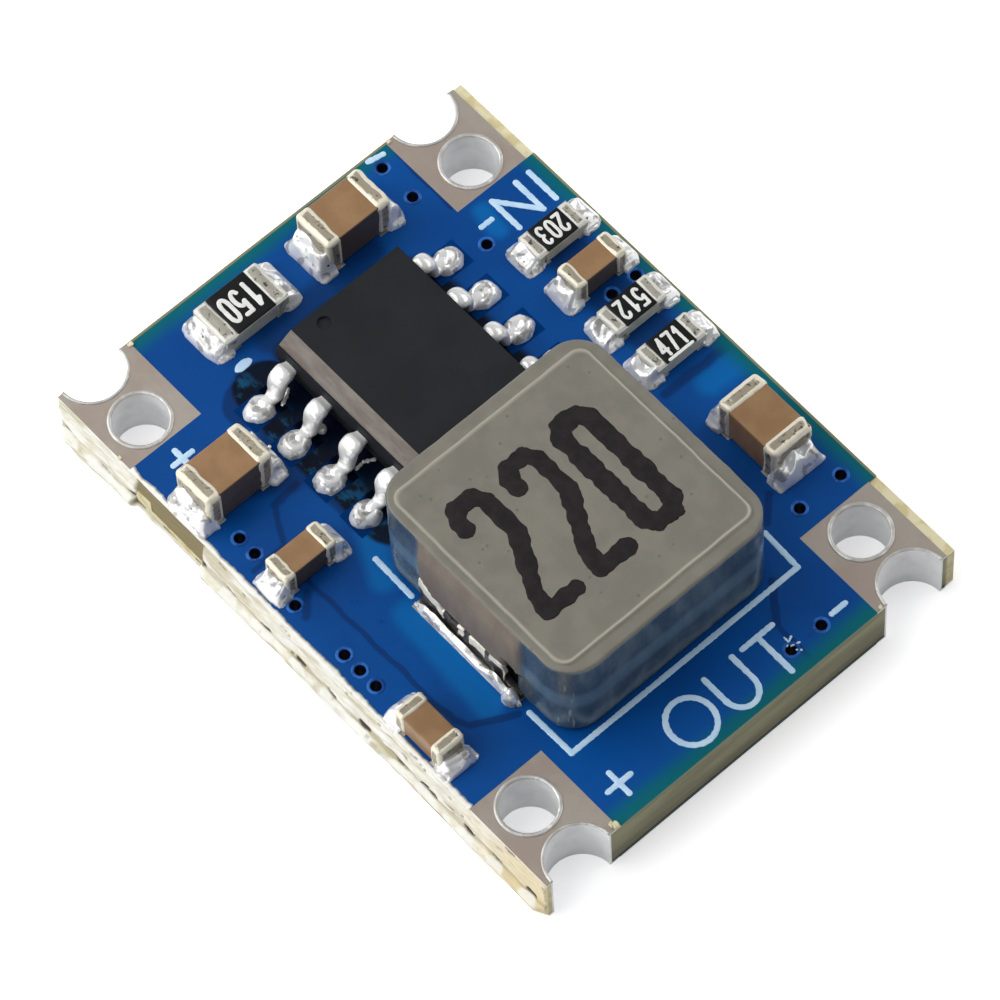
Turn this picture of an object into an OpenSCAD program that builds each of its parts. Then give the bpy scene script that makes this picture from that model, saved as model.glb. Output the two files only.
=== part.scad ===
// Buck converter module: a small switching regulator on one printed board.
// A controller with eight gull-wing leads, a moulded power inductor, six
// ceramic capacitors and four chip resistors are soldered to a board whose
// four corners carry plated pads, each with a pin hole and an end notch.
//
// The origin is the middle of the underside. X runs from the input end to
// the output end, Z points up, and the front is the snapped edge at -Y.

/* [Board] */
// Length of the board, input end to output end
board_l = 17.3; // [17.3:0.1:22]
// Width of the board, snapped edge to rear edge
board_w = 12.75; // [12.75:0.05:16]
// Finished thickness, coatings included
board_t = 1.6; // [1:0.1:2.4]
// Thickness of the solder mask and of the copper lands
film_t = 0.05; // [0.03:0.01:0.08]
// Bare laminate left between the corner pads and the rear edge
rail_w = 0.25; // [0.1:0.05:0.4]

/* [Corner pads] */
// Length of a corner pad along the board
pad_l = 2.65; // [2.6:0.05:2.9]
// Width of a corner pad across the board
pad_w = 2.2; // [2.1:0.05:2.3]
// Plated diameter of a pin hole
hole_d = 1.5; // [1:0.05:1.6]
// Distance from the board's end to the middle of a pin hole
hole_inset = 1.8; // [1.75:0.05:1.85]
// Distance from a pad's outer side to the row of its hole and notch
row_inset = 1.04; // [1:0.01:1.1]
// Plated radius of an end notch
notch_r = 0.87; // [0.6:0.01:0.9]
// Thickness of the plating in the holes and notches
plating_t = 0.05; // [0.03:0.01:0.06]

/* [Vias] */
// Open diameter of a via
via_d = 0.3; // [0.2:0.05:0.35]
// Thickness of the copper barrel in a via
via_wall = 0.05; // [0.03:0.01:0.06]
// Distance of the outermost vias from the board's edges
via_edge = 0.5; // [0.45:0.01:0.55]
// Spacing of vias that stand in a row
via_pitch = 0.55; // [0.5:0.01:0.6]
// Clearance between a chip's solder and the vias beside it
via_clear = 0.52; // [0.4:0.01:0.55]
// Spacing of the two vias at the output end
out_via_pitch = 0.95; // [0.7:0.05:1.1]
// Middle of those two vias from the pad rows' middle line
out_via_y = 2.4; // [2.2:0.05:2.6]

/* [Front edge] */
// Spacing of the torn glass bundles along the snapped edge
bundle_pitch = 1.17; // [0.8:0.01:2]
// Length of one torn bundle's pocket
bundle_l = 0.55; // [0.2:0.05:0.7]
// Height of one torn bundle's pocket
bundle_h = 0.12; // [0.05:0.01:0.2]
// Height of the row of pockets over the underside
bundle_z = 0.16; // [0.15:0.01:0.3]
// Depth of the pockets and of the sawn stretch
tear_depth = 0.08; // [0.04:0.01:0.12]
// Length of the stretch that a saw left smooth
sawn_l = 2.5; // [1:0.1:4]
// Height of the ledge under the sawn stretch
sawn_ledge = 0.4; // [0.3:0.05:0.8]

/* [Controller] */
// Length of the controller's moulding
so_l = 4.9; // [4.7:0.05:5]
// Width of the controller's moulding
so_w = 3.9; // [3.6:0.05:4]
// Height of the controller above the lands
so_h = 1.5; // [1.3:0.05:1.75]
// Clearance under the moulding
so_standoff = 0.12; // [0.05:0.01:0.25]
// Inward lean of the moulding's sides
so_draft = 0.1; // [0.05:0.01:0.15]
// Width of the bevel over the first row of leads
so_bevel = 0.36; // [0.2:0.02:0.5]
// Diameter of the dimple at the first lead
so_dimple_d = 0.36; // [0.2:0.02:0.6]
// Distance of that dimple from the moulding's input end
so_dimple_inset = 0.4; // [0.3:0.05:0.8]
// Depth of that dimple
so_dimple_depth = 0.06; // [0.03:0.01:0.12]

/* [Leads] */
// Spacing of the leads
lead_pitch = 1.27; // [1.1:0.01:1.3]
// Width of a lead
lead_w = 0.42; // [0.3:0.02:0.5]
// Thickness of a lead
lead_t = 0.2; // [0.15:0.01:0.22]
// Span from toe to toe
lead_span = 6; // [5.8:0.05:6.2]
// Flat length of a lead's foot
foot_l = 0.36; // [0.25:0.01:0.4]
// Inner radius of a lead's two bends
lead_bend_r = 0.12; // [0.08:0.01:0.15]
// Lean of a lead's leg away from upright, in degrees
lead_lean = 10; // [0:1:15]
// Length of a lead held inside the moulding
lead_root = 0.4; // [0.2:0.05:0.6]

/* [Inductor] */
// Length of the inductor along the board
coil_l = 6.8; // [6.2:0.1:7]
// Width of the inductor over its two bosses
coil_w = 6.7; // [6.3:0.1:6.9]
// Height of the inductor above the lands
coil_h = 3; // [2:0.1:5]
// Clearance under the moulding
coil_standoff = 0.06; // [0.02:0.01:0.1]
// Radius of its upright corners
coil_corner_r = 0.95; // [0.6:0.05:1.2]
// Radius along its upper edges
coil_edge_r = 0.2; // [0.1:0.05:0.4]
// Width of the shoulder round the raised top
shoulder_w = 0.4; // [0.3:0.05:0.8]
// Height of the raised top over the shoulder
crown_h = 0.04; // [0.02:0.01:0.1]
// How far the bosses over the terminals stand out
boss_out = 0.2; // [0.1:0.05:0.3]
// Slope of a boss's top, measured down the side
boss_slope = 0.5; // [0.2:0.05:0.8]
// Middle of the inductor from the middle of the board
coil_x = 2.97; // [2.9:0.01:3.1]
// Front offset of the inductor from the pad rows' middle line
coil_offset = 0.2; // [0:0.02:0.3]
// Clearance between the controller and the inductor
coil_gap = 0.35; // [0.3:0.05:0.5]

/* [Inductor terminals] */
// Width of a terminal
terminal_w = 3.5; // [2.5:0.1:4]
// Thickness of a terminal's sheet
terminal_t = 0.18; // [0.1:0.02:0.3]
// Height of a terminal up the side
terminal_h = 1.1; // [0.6:0.1:1.2]
// Length of a terminal's foot under the moulding
terminal_foot = 1.4; // [0.8:0.1:2]
// Clearance between a terminal and its boss
terminal_gap = 0.14; // [0.05:0.01:0.2]

/* [Chip sizes] */
// Length of the large chips
large_l = 2; // [1.8:0.05:2.05]
// Width of the large chips
large_w = 1.25; // [1.1:0.05:1.3]
// Length of the small chips
small_l = 1.6; // [1.5:0.05:1.65]
// Width of the small chips
small_w = 0.8; // [0.7:0.05:0.9]
// Height of the large capacitors
large_cap_h = 1.25; // [0.8:0.05:1.4]
// Height of the small capacitors
small_cap_h = 0.8; // [0.5:0.05:0.9]
// Height of the large resistor
large_res_h = 0.55; // [0.45:0.05:0.7]
// Height of the small resistors
small_res_h = 0.45; // [0.4:0.05:0.6]
// Share of a chip's length that each terminal covers
end_share = 0.22; // [0.15:0.01:0.25]
// Thickness of a chip's terminals
end_skin = 0.04; // [0.02:0.01:0.06]
// Thickness of a resistor's dark overcoat
overcoat_t = 0.05; // [0.03:0.01:0.07]
// Bare ceramic left beside the overcoat
overcoat_margin = 0.03; // [0.02:0.01:0.1]

/* [Chip places] */
// Input end to the middle of the two chips beside it
end_inset = 1.26; // [1.1:0.02:1.3]
// Input capacitor from the middle line, to the rear
input_cap_y = 1.69; // [1.65:0.01:1.9]
// Sense resistor from the middle line, to the front
sense_y = 1.57; // [1.5:0.01:1.7]
// Clearance between the controller's rear lands and the rear row's
rear_gap = 0.66; // [0.5:0.01:0.7]
// First resistor of the rear row from the middle of the board
rear_x = 3.9; // [3.8:0.02:4]
// Spacing of the four small chips of the rear row
rear_pitch = 1.39; // [1.3:0.01:1.45]
// Clearance between the output capacitor's land and the corner pad
output_gap = 1.15; // [1:0.01:1.3]
// Clearance between the controller's front lands and the supply capacitor's
supply_gap = 0.11; // [0.08:0.01:0.12]
// Supply capacitor from the middle of the board
supply_cap_x = 4.1; // [4:0.02:4.2]
// Clearance between the controller's front lands and the boost capacitor's
boost_gap = 0.37; // [0.2:0.01:0.6]
// Boost capacitor from the middle of the board
boost_cap_x = 1.32; // [1.2:0.02:1.4]
// Front edge to the middle of the filter capacitor
filter_inset = 0.54; // [0.5:0.01:0.6]
// Clearance between the filter capacitor's land and the corner pad
filter_gap = 0.83; // [0.7:0.01:0.9]

/* [Solder] */
// Length of the fillet at each chip's end
fillet_l = 0.3; // [0.2:0.01:0.32]
// Share of a chip's height that its fillets climb
climb_share = 0.7; // [0.4:0.05:0.9]
// Length of the fillet along each of the inductor's terminals
strip_l = 0.21; // [0.15:0.01:0.25]
// Height of that fillet up the terminal
strip_h = 0.55; // [0.3:0.05:0.6]
// Radius of the solder bead round a lead's toe
bead_r = 0.38; // [0.34:0.01:0.4]
// Height of that bead
bead_h = 0.28; // [0.24:0.01:0.32]
// Flat of a lead's foot left bare behind its bead
heel_bare = 0.02; // [0.01:0.01:0.05]
// Overhang of a land past its solder
land_margin = 0.03; // [0.02:0.01:0.05]

/* [Hidden] */
$fn = 48;
eps = 0.01;

// The four corners: which end along X, which side along Y
CORNERS = [
    ["in_plus", -1, -1], ["in_minus", -1, 1],
    ["out_plus", 1, -1], ["out_minus", 1, 1]
];
ENDS = [-1, 1];

// Levels, edges and the middle line of the pad rows
core_t = board_t - 2 * film_t;
end_x = board_l / 2;
edge_y = board_w / 2;
mid_y = -rail_w / 2;
row_y = (board_w - rail_w) / 2 - row_inset;
hole_r = hole_d / 2;
hole_x = end_x - hole_inset;

// Controller: its middle, the height of its leads and their bent shape
so_x = coil_x - coil_l / 2 - coil_gap - so_l / 2;
lead_z = (so_h + so_standoff) / 2;
bend_r = lead_bend_r + lead_t / 2;
leg_l = (lead_z - 2 * bend_r * (1 - sin(lead_lean)) - lead_t / 2) / cos(lead_lean);
lead_out = (lead_span - so_w) / 2;
shoulder_l = lead_out - foot_l - 2 * bend_r * cos(lead_lean) - leg_l * sin(lead_lean);

// Solder bead: its middle, from the controller's middle line
bead_y = lead_span / 2 - foot_l + heel_bare + bead_r;

// Inductor: its core inside the bosses
coil_y = mid_y - coil_offset;
coil_core_w = coil_w - 2 * boss_out;
boss_z = terminal_h + terminal_gap;

// Reach of a lead's land from the controller's middle line, and of a chip's
// land pattern from the chip's middle
toe_reach = bead_y + bead_r + land_margin;
end_reach = fillet_l + land_margin;
large_reach = large_l / 2 + end_reach;
small_reach = small_l / 2 + end_reach;
rear_y = mid_y + toe_reach + rear_gap + small_reach;

// Middle of each chip, and whether it lies along X or Y
input_cap_at = [-end_x + end_inset, mid_y + input_cap_y];
sense_at = [-end_x + end_inset, mid_y - sense_y];
supply_cap_at = [-supply_cap_x, mid_y - toe_reach - supply_gap - large_reach];
boost_cap_at = [-boost_cap_x, mid_y - toe_reach - boost_gap - small_reach];
filter_cap_at = [end_x - pad_l - filter_gap - small_reach, -edge_y + filter_inset];
output_cap_at = [end_x - pad_l - output_gap - large_reach, rear_y];
function rear_at(i) = [-rear_x + i * rear_pitch, rear_y];
ALONG = 0;
ACROSS = 90;

// Every chip's land pattern: middle, direction, length and width
CHIPS = [
    [input_cap_at, ACROSS, large_l, large_w], [sense_at, ACROSS, large_l, large_w],
    [supply_cap_at, ACROSS, large_l, large_w], [output_cap_at, ALONG, large_l, large_w],
    [boost_cap_at, ACROSS, small_l, small_w], [filter_cap_at, ALONG, small_l, small_w],
    [rear_at(0), ACROSS, small_l, small_w], [rear_at(1), ACROSS, small_l, small_w],
    [rear_at(2), ACROSS, small_l, small_w], [rear_at(3), ACROSS, small_l, small_w]
];

// Vias stand between, or beside, the pieces that they serve
via_out = via_d / 2 + via_wall;
input_via_y = (input_cap_at[1] + large_reach + mid_y + row_y + row_inset - pad_w) / 2;
between_x = (supply_cap_at[0] + large_w / 2 + boost_cap_at[0] - small_w / 2) / 2;
beside_boost_x = boost_cap_at[0] + small_w / 2 + land_margin + via_out + land_margin;
filter_via_x = filter_cap_at[0] - small_reach - via_clear - via_out;
output_via_x = end_x - pad_l - output_gap / 2;
output_via_dy = large_w / 2 + land_margin;
VIAS = concat(
    [for (i = [0, 2]) [-end_x + via_edge + i * via_pitch, input_via_y]],
    [[lead_x(0) + via_pitch / 2, mid_y + toe_reach + via_clear]],
    [[rear_at(1.5)[0], edge_y - via_edge], [rear_at(1.5)[0], rear_y]],
    [for (i = [-0.5, 0.5]) [between_x + i * via_pitch, -edge_y + via_edge + via_out]],
    [[beside_boost_x, -edge_y + via_edge]],
    [for (i = [0:2]) [filter_via_x - i * via_pitch, -edge_y + via_edge]],
    [for (side = ENDS) [output_via_x, rear_y + side * output_via_dy]],
    [for (side = ENDS) [end_x - via_edge - via_d / 2, mid_y + out_via_y + side * out_via_pitch / 2]]
);

// ---------- Board ----------

// A round bar through the board at one corner's hole or notch
module through(x, y, r) {
    translate([x, y, -eps]) cylinder(r = r, h = board_t + 2 * eps);
}

module at_hole(corner, r) { through(corner[1] * hole_x, mid_y + corner[2] * row_y, r); }
module at_notch(corner, r) { through(corner[1] * end_x, mid_y + corner[2] * row_y, r); }

// A coating or core slab over the whole board
module slab(z, t) {
    translate([-end_x, -edge_y, z]) cube([board_l, board_w, t]);
}

// Rectangle of one corner pad
module pad_block(corner, z, t) {
    outer_y = (board_w - rail_w) / 2;
    x = corner[1] < 0 ? -end_x : end_x - pad_l;
    y = mid_y + (corner[2] < 0 ? -outer_y : outer_y - pad_w);
    translate([x, y, z]) cube([pad_l, pad_w, t]);
}

// Torn glass bundles, and the stretch that the saw left smooth
module front_tears() {
    count = floor(board_l / bundle_pitch / 2);
    for (i = [-count:count])
        translate([i * bundle_pitch - bundle_l / 2, -edge_y - eps, bundle_z])
            cube([bundle_l, tear_depth + eps, bundle_h]);
    translate([-supply_cap_x - sawn_l / 2, -edge_y, 0])
        rotate([90, 0, 90]) linear_extrude(sawn_l)
            polygon([
                [-eps, sawn_ledge], [tear_depth, sawn_ledge],
                [0, board_t - film_t], [-eps, board_t - film_t]
            ]);
}

module substrate() {
    color("#8f8a63") difference() {
        slab(film_t, core_t);
        for (corner = CORNERS) {
            at_hole(corner, hole_r + plating_t);
            at_notch(corner, notch_r + plating_t);
        }
        for (via = VIAS) through(via[0], via[1], via_out);
        front_tears();
    }
}

// Copper lands of the leads, the terminals and the chips, as flat blocks
module land_blocks(z, t) {
    for (side = ENDS, i = [0:3]) {
        w = 2 * (bead_r + land_margin);
        outer = bead_y + w / 2;
        inner = lead_span / 2 - foot_l - bend_r;
        translate([lead_x(i) - w / 2, mid_y + (side > 0 ? inner : -outer), z])
            cube([w, outer - inner, t]);
    }
    for (side = ENDS) {
        w = terminal_w + 2 * land_margin;
        outer = coil_core_w / 2 + terminal_t + strip_l + land_margin;
        inner = coil_core_w / 2 - terminal_foot;
        translate([coil_x - w / 2, coil_y + (side > 0 ? inner : -outer), z])
            cube([w, outer - inner, t]);
    }
    for (chip = CHIPS) translate([chip[0][0], chip[0][1], z]) rotate([0, 0, chip[1]])
        for (end = ENDS) {
            w = chip[3] + 2 * land_margin;
            outer = chip[2] / 2 + end_reach;
            inner = chip[2] / 2 - end_share * chip[2];
            translate([end > 0 ? inner : -outer, -w / 2, 0]) cube([outer - inner, w, t]);
        }
}

function lead_x(i) = so_x + (i - 1.5) * lead_pitch;

// Opening of the solder mask at one corner pad, out to the board's edge
module mask_window(corner, z, t) {
    pad_block(corner, z, t);
    if (corner[2] > 0) translate([0, rail_w, 0]) pad_block(corner, z, t);
}

// Solder mask: open at the corner pads and the vias
module mask(z) {
    difference() {
        slab(z, film_t);
        for (corner = CORNERS) {
            mask_window(corner, z - eps, film_t + 2 * eps);
            at_notch(corner, notch_r + plating_t);
        }
        for (via = VIAS) through(via[0], via[1], via_d / 2);
    }
}

module mask_top() {
    color("#0b4a97") difference() {
        mask(board_t - film_t);
        land_blocks(board_t - film_t - eps, film_t + 2 * eps);
    }
}

module mask_bottom() { color("#0b4a97") mask(0); }

module lands() { color("#b9b4ac") land_blocks(board_t - film_t, film_t); }

module via_barrels() {
    color("#3f6fb5") for (via = VIAS) translate([via[0], via[1], film_t]) difference() {
        cylinder(r = via_out, h = core_t);
        translate([0, 0, -eps]) cylinder(d = via_d, h = core_t + 2 * eps);
    }
}

// A corner pad: lands on both faces, joined by the barrel of the pin hole
// and by the half barrel of the end notch
module corner_pad(i) {
    corner = CORNERS[i];
    color("#a89f98") difference() {
        union() {
            for (z = [0, board_t - film_t]) pad_block(corner, z, film_t);
            intersection() {
                slab(0, board_t);
                union() {
                    at_hole(corner, hole_r + plating_t);
                    at_notch(corner, notch_r + plating_t);
                }
            }
        }
        at_hole(corner, hole_r);
        at_notch(corner, notch_r);
    }
}

// ---------- Controller ----------

// Part of a ring between straight up and the leg's direction
module bend_sector() {
    reach = 3 * (lead_bend_r + lead_t);
    intersection() {
        difference() {
            circle(r = lead_bend_r + lead_t);
            circle(r = lead_bend_r);
        }
        polygon([[0, 0], [0, reach], [reach, reach], [reach * cos(lead_lean), reach * sin(lead_lean)]]);
    }
}

// Side view of a gull-wing lead: root, shoulder, bend, leg, bend, foot
module lead_profile() {
    leg_start = [cos(lead_lean), sin(lead_lean)] * bend_r;
    leg_run = [sin(lead_lean), -cos(lead_lean)] * leg_l;
    upper = [shoulder_l, lead_z - bend_r];
    lower = upper + 2 * leg_start + leg_run;
    translate([-lead_root, lead_z - lead_t / 2]) square([lead_root + shoulder_l + eps, lead_t]);
    translate(upper) bend_sector();
    translate(upper + leg_start) rotate(lead_lean - 90)
        translate([-eps, -lead_t / 2]) square([leg_l + 2 * eps, lead_t]);
    translate(lower) rotate(180) bend_sector();
    translate([lower[0] - eps, 0]) square([foot_l + eps, lead_t]);
}

// Leads 1 to 4 stand along the front from the input end, 5 to 8 run back
module lead(i) {
    front = i <= 4;
    x = lead_x(front ? i - 1 : 8 - i);
    translate([x, mid_y, board_t]) mirror([0, front ? 1 : 0, 0])
        translate([-lead_w / 2, so_w / 2, 0])
            rotate([90, 0, 90]) linear_extrude(lead_w) lead_profile();
}

// Half of the moulding, tapering away from the plane of the leads
module tapered_half(h) {
    linear_extrude(h, scale = [1 - 2 * so_draft / so_l, 1 - 2 * so_draft / so_w], slices = 1)
        square([so_l, so_w], center = true);
}

module controller_body() {
    dimple_at = [
        so_draft - so_l / 2 + so_dimple_inset,
        so_draft - so_w / 2 + so_bevel + 1.75 * so_dimple_inset,
        so_h - lead_z
    ];
    color("#262a2e") difference() {
        translate([so_x, mid_y, board_t + lead_z]) difference() {
            union() {
                tapered_half(so_h - lead_z);
                mirror([0, 0, 1]) tapered_half(lead_z - so_standoff);
            }
            translate([0, so_draft - so_w / 2, so_h - lead_z]) rotate([45, 0, 0])
                cube([so_l + 1, so_bevel * sqrt(2), so_bevel * sqrt(2)], center = true);
            translate(dimple_at - [0, 0, so_dimple_depth])
                cylinder(d = so_dimple_d, h = so_dimple_depth + eps);
        }
        for (i = [1:8]) lead(i);
    }
}

module controller_lead(i) { color("#c9c7c2") lead(i); }

// A low bead of solder round each toe
module controller_solder() {
    ball_r = (bead_r * bead_r + bead_h * bead_h) / (2 * bead_h);
    color("#d8d8d6") for (side = ENDS, i = [0:3]) difference() {
        intersection() {
            translate([lead_x(i), mid_y + side * bead_y, board_t + bead_h - ball_r])
                sphere(r = ball_r);
            translate([lead_x(i) - 1, mid_y - lead_span, board_t]) cube([2, 2 * lead_span, 1]);
        }
        lead(side < 0 ? i + 1 : 8 - i);
    }
}

// ---------- Inductor ----------

// Block with round upright corners and a rounded upper edge
module moulded_block(l, w, h) {
    hull() for (x = ENDS, y = ENDS)
        translate([x * (l / 2 - coil_corner_r), y * (w / 2 - coil_corner_r), 0]) {
            cylinder(r = coil_corner_r, h = h - coil_edge_r, $fn = 32);
            translate([0, 0, h - coil_edge_r]) rotate_extrude($fn = 32)
                intersection() {
                    translate([coil_corner_r - coil_edge_r, 0]) circle(r = coil_edge_r, $fn = 24);
                    square([coil_corner_r, coil_edge_r]);
                }
        }
}

// Side view of a terminal: foot under the moulding, then up the side
module terminal_profile() {
    square([terminal_foot + terminal_t, terminal_t]);
    translate([terminal_foot, 0]) square([terminal_t, terminal_h]);
}

module terminal(side) {
    translate([coil_x, coil_y, board_t]) mirror([0, side < 0 ? 1 : 0, 0])
        translate([-terminal_w / 2, coil_core_w / 2 - terminal_foot, 0])
            rotate([90, 0, 90]) linear_extrude(terminal_w) terminal_profile();
}

// The boss over a terminal, with its sloping top
module boss() {
    top_z = coil_h - crown_h - coil_edge_r;
    rotate([90, 0, 90]) linear_extrude(terminal_w, center = true)
        polygon([
            [coil_core_w / 2 - boss_out, boss_z], [coil_core_w / 2 + boss_out, boss_z],
            [coil_core_w / 2 + boss_out, top_z - boss_slope], [coil_core_w / 2 - boss_out, top_z]
        ]);
}

module inductor_body() {
    color("#7d776f") difference() {
        translate([coil_x, coil_y, board_t]) {
            translate([0, 0, coil_standoff])
                moulded_block(coil_l, coil_core_w, coil_h - crown_h - coil_standoff);
            translate([0, 0, coil_h - crown_h - eps])
                crown(coil_l - 2 * shoulder_w, coil_core_w - 2 * shoulder_w, crown_h + eps);
            for (side = ENDS) mirror([0, side < 0 ? 1 : 0, 0]) boss();
        }
        for (side = ENDS) terminal(side);
    }
}

// Raised top of the moulding, a rectangle with round corners
module crown(l, w, h) {
    r = max(coil_corner_r - shoulder_w, 0.1);
    translate([-l / 2 + r, -w / 2, 0]) cube([l - 2 * r, w, h]);
    translate([-l / 2, -w / 2 + r, 0]) cube([l, w - 2 * r, h]);
    for (x = ENDS, y = ENDS)
        translate([x * (l / 2 - r), y * (w / 2 - r), 0]) cylinder(r = r, h = h);
}

module inductor_terminal(side) { color("#c4bfae") terminal(side); }

// ---------- Solder fillets ----------

// Hollow fillet against an upright face: a curve that leaves the land and the
// face along their own directions, in short flats
module fillet(run, rise, width) {
    steps = 7;
    fullness = 1.7;
    rotate([90, 0, 0]) linear_extrude(width, center = true) polygon(concat([[0, 0]],
        [for (i = [0:steps]) [run * pow(1 - i / steps, fullness), rise * pow(i / steps, fullness)]]));
}

module inductor_solder() {
    color("#d8d8d6") for (side = ENDS)
        translate([coil_x, coil_y + side * (coil_core_w / 2 + terminal_t), board_t])
            rotate([0, 0, side * 90]) fillet(strip_l, strip_h, terminal_w);
}

// ---------- Chip parts ----------

// Stands a chip at its place on the board
module place(at, direction) {
    translate([at[0], at[1], board_t]) rotate([0, 0, direction]) children();
}

// The two ends of a chip as full blocks
module end_blocks(l, w, h) {
    for (end = ENDS) translate([end * (l / 2 - end_share * l / 2), 0, h / 2])
        cube([end_share * l, w, h], center = true);
}

// Ceramic block, thinner by the terminals' skin all round
module capacitor_block(l, w, h) {
    translate([0, 0, h / 2]) cube([l - 2 * end_skin, w - 2 * end_skin, h - 2 * end_skin], center = true);
}

module capacitor(l, w, h) { color("#9a7350") capacitor_block(l, w, h); }

module capacitor_ends(l, w, h) {
    color("#d5cdb8") difference() {
        end_blocks(l, w, h);
        capacitor_block(l, w, h);
    }
}

// Alumina block: its terminals wrap the ends, the top and the underside
module resistor_block(l, w, h) {
    translate([0, 0, h / 2]) cube([l - 2 * end_skin, w, h - 2 * end_skin], center = true);
}

module resistor(l, w, h) { color("#e6e4dc") resistor_block(l, w, h); }

module resistor_coat(l, w, h) {
    color("#1b1d1f") translate([0, 0, h - end_skin + overcoat_t / 2])
        cube([l - 2 * end_share * l, w - 2 * overcoat_margin, overcoat_t], center = true);
}

module resistor_ends(l, w, h) {
    color("#cfccc2") difference() {
        end_blocks(l, w, h);
        resistor_block(l, w, h);
    }
}

module chip_solder(l, w, h) {
    color("#d8d8d6") for (end = ENDS) translate([end * l / 2, 0, 0])
        rotate([0, 0, end > 0 ? 0 : 180]) fillet(fillet_l, h * climb_share, w);
}

module large_capacitor() { capacitor(large_l, large_w, large_cap_h); }
module large_capacitor_ends() { capacitor_ends(large_l, large_w, large_cap_h); }
module large_capacitor_solder() { chip_solder(large_l, large_w, large_cap_h); }
module small_capacitor() { capacitor(small_l, small_w, small_cap_h); }
module small_capacitor_ends() { capacitor_ends(small_l, small_w, small_cap_h); }
module small_capacitor_solder() { chip_solder(small_l, small_w, small_cap_h); }
module large_resistor() { resistor(large_l, large_w, large_res_h); }
module large_resistor_coat() { resistor_coat(large_l, large_w, large_res_h); }
module large_resistor_ends() { resistor_ends(large_l, large_w, large_res_h); }
module large_resistor_solder() { chip_solder(large_l, large_w, large_res_h); }
module small_resistor() { resistor(small_l, small_w, small_res_h); }
module small_resistor_coat() { resistor_coat(small_l, small_w, small_res_h); }
module small_resistor_ends() { resistor_ends(small_l, small_w, small_res_h); }
module small_resistor_solder() { chip_solder(small_l, small_w, small_res_h); }

// ---------- The pieces ----------

substrate();
mask_top();
mask_bottom();
via_barrels();
lands();
corner_pad(0);  // pad_in_plus
corner_pad(1);  // pad_in_minus
corner_pad(2);  // pad_out_plus
corner_pad(3);  // pad_out_minus

controller_body();
controller_lead(1);  // lead_1
controller_lead(2);  // lead_2
controller_lead(3);  // lead_3
controller_lead(4);  // lead_4
controller_lead(5);  // lead_5
controller_lead(6);  // lead_6
controller_lead(7);  // lead_7
controller_lead(8);  // lead_8
controller_solder();

inductor_body();
inductor_terminal(-1);  // terminal_front
inductor_terminal(1);  // terminal_rear
inductor_solder();

place(input_cap_at, ACROSS) large_capacitor();  // input_capacitor
place(input_cap_at, ACROSS) large_capacitor_ends();  // input_capacitor_ends
place(input_cap_at, ACROSS) large_capacitor_solder();  // input_capacitor_solder
place(supply_cap_at, ACROSS) large_capacitor();  // supply_capacitor
place(supply_cap_at, ACROSS) large_capacitor_ends();  // supply_capacitor_ends
place(supply_cap_at, ACROSS) large_capacitor_solder();  // supply_capacitor_solder
place(output_cap_at, ALONG) large_capacitor();  // output_capacitor
place(output_cap_at, ALONG) large_capacitor_ends();  // output_capacitor_ends
place(output_cap_at, ALONG) large_capacitor_solder();  // output_capacitor_solder
place(boost_cap_at, ACROSS) small_capacitor();  // boost_capacitor
place(boost_cap_at, ACROSS) small_capacitor_ends();  // boost_capacitor_ends
place(boost_cap_at, ACROSS) small_capacitor_solder();  // boost_capacitor_solder
place(filter_cap_at, ALONG) small_capacitor();  // filter_capacitor
place(filter_cap_at, ALONG) small_capacitor_ends();  // filter_capacitor_ends
place(filter_cap_at, ALONG) small_capacitor_solder();  // filter_capacitor_solder
place(rear_at(1), ACROSS) small_capacitor();  // feed_capacitor
place(rear_at(1), ACROSS) small_capacitor_ends();  // feed_capacitor_ends
place(rear_at(1), ACROSS) small_capacitor_solder();  // feed_capacitor_solder

place(sense_at, ACROSS) large_resistor();  // sense_resistor
place(sense_at, ACROSS) large_resistor_coat();  // sense_resistor_coat
place(sense_at, ACROSS) large_resistor_ends();  // sense_resistor_ends
place(sense_at, ACROSS) large_resistor_solder();  // sense_resistor_solder
place(rear_at(0), ACROSS) small_resistor();  // resistor_1
place(rear_at(0), ACROSS) small_resistor_coat();  // resistor_1_coat
place(rear_at(0), ACROSS) small_resistor_ends();  // resistor_1_ends
place(rear_at(0), ACROSS) small_resistor_solder();  // resistor_1_solder
place(rear_at(2), ACROSS) small_resistor();  // resistor_2
place(rear_at(2), ACROSS) small_resistor_coat();  // resistor_2_coat
place(rear_at(2), ACROSS) small_resistor_ends();  // resistor_2_ends
place(rear_at(2), ACROSS) small_resistor_solder();  // resistor_2_solder
place(rear_at(3), ACROSS) small_resistor();  // resistor_3
place(rear_at(3), ACROSS) small_resistor_coat();  // resistor_3_coat
place(rear_at(3), ACROSS) small_resistor_ends();  // resistor_3_ends
place(rear_at(3), ACROSS) small_resistor_solder();  // resistor_3_solder
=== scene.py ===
"""Buck converter module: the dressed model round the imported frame.

Every size below is in millimetres and is turned into metres where a mesh is
made. The board lies in XY with its deck upwards, X runs from the input end to
the output end, and the front is the snapped edge at -Y.
"""
import functools
import logging
import math
from collections.abc import Callable, Iterator, Sequence
from dataclasses import dataclass

import bpy
import numpy as np
from mathutils import Matrix, Vector


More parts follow.
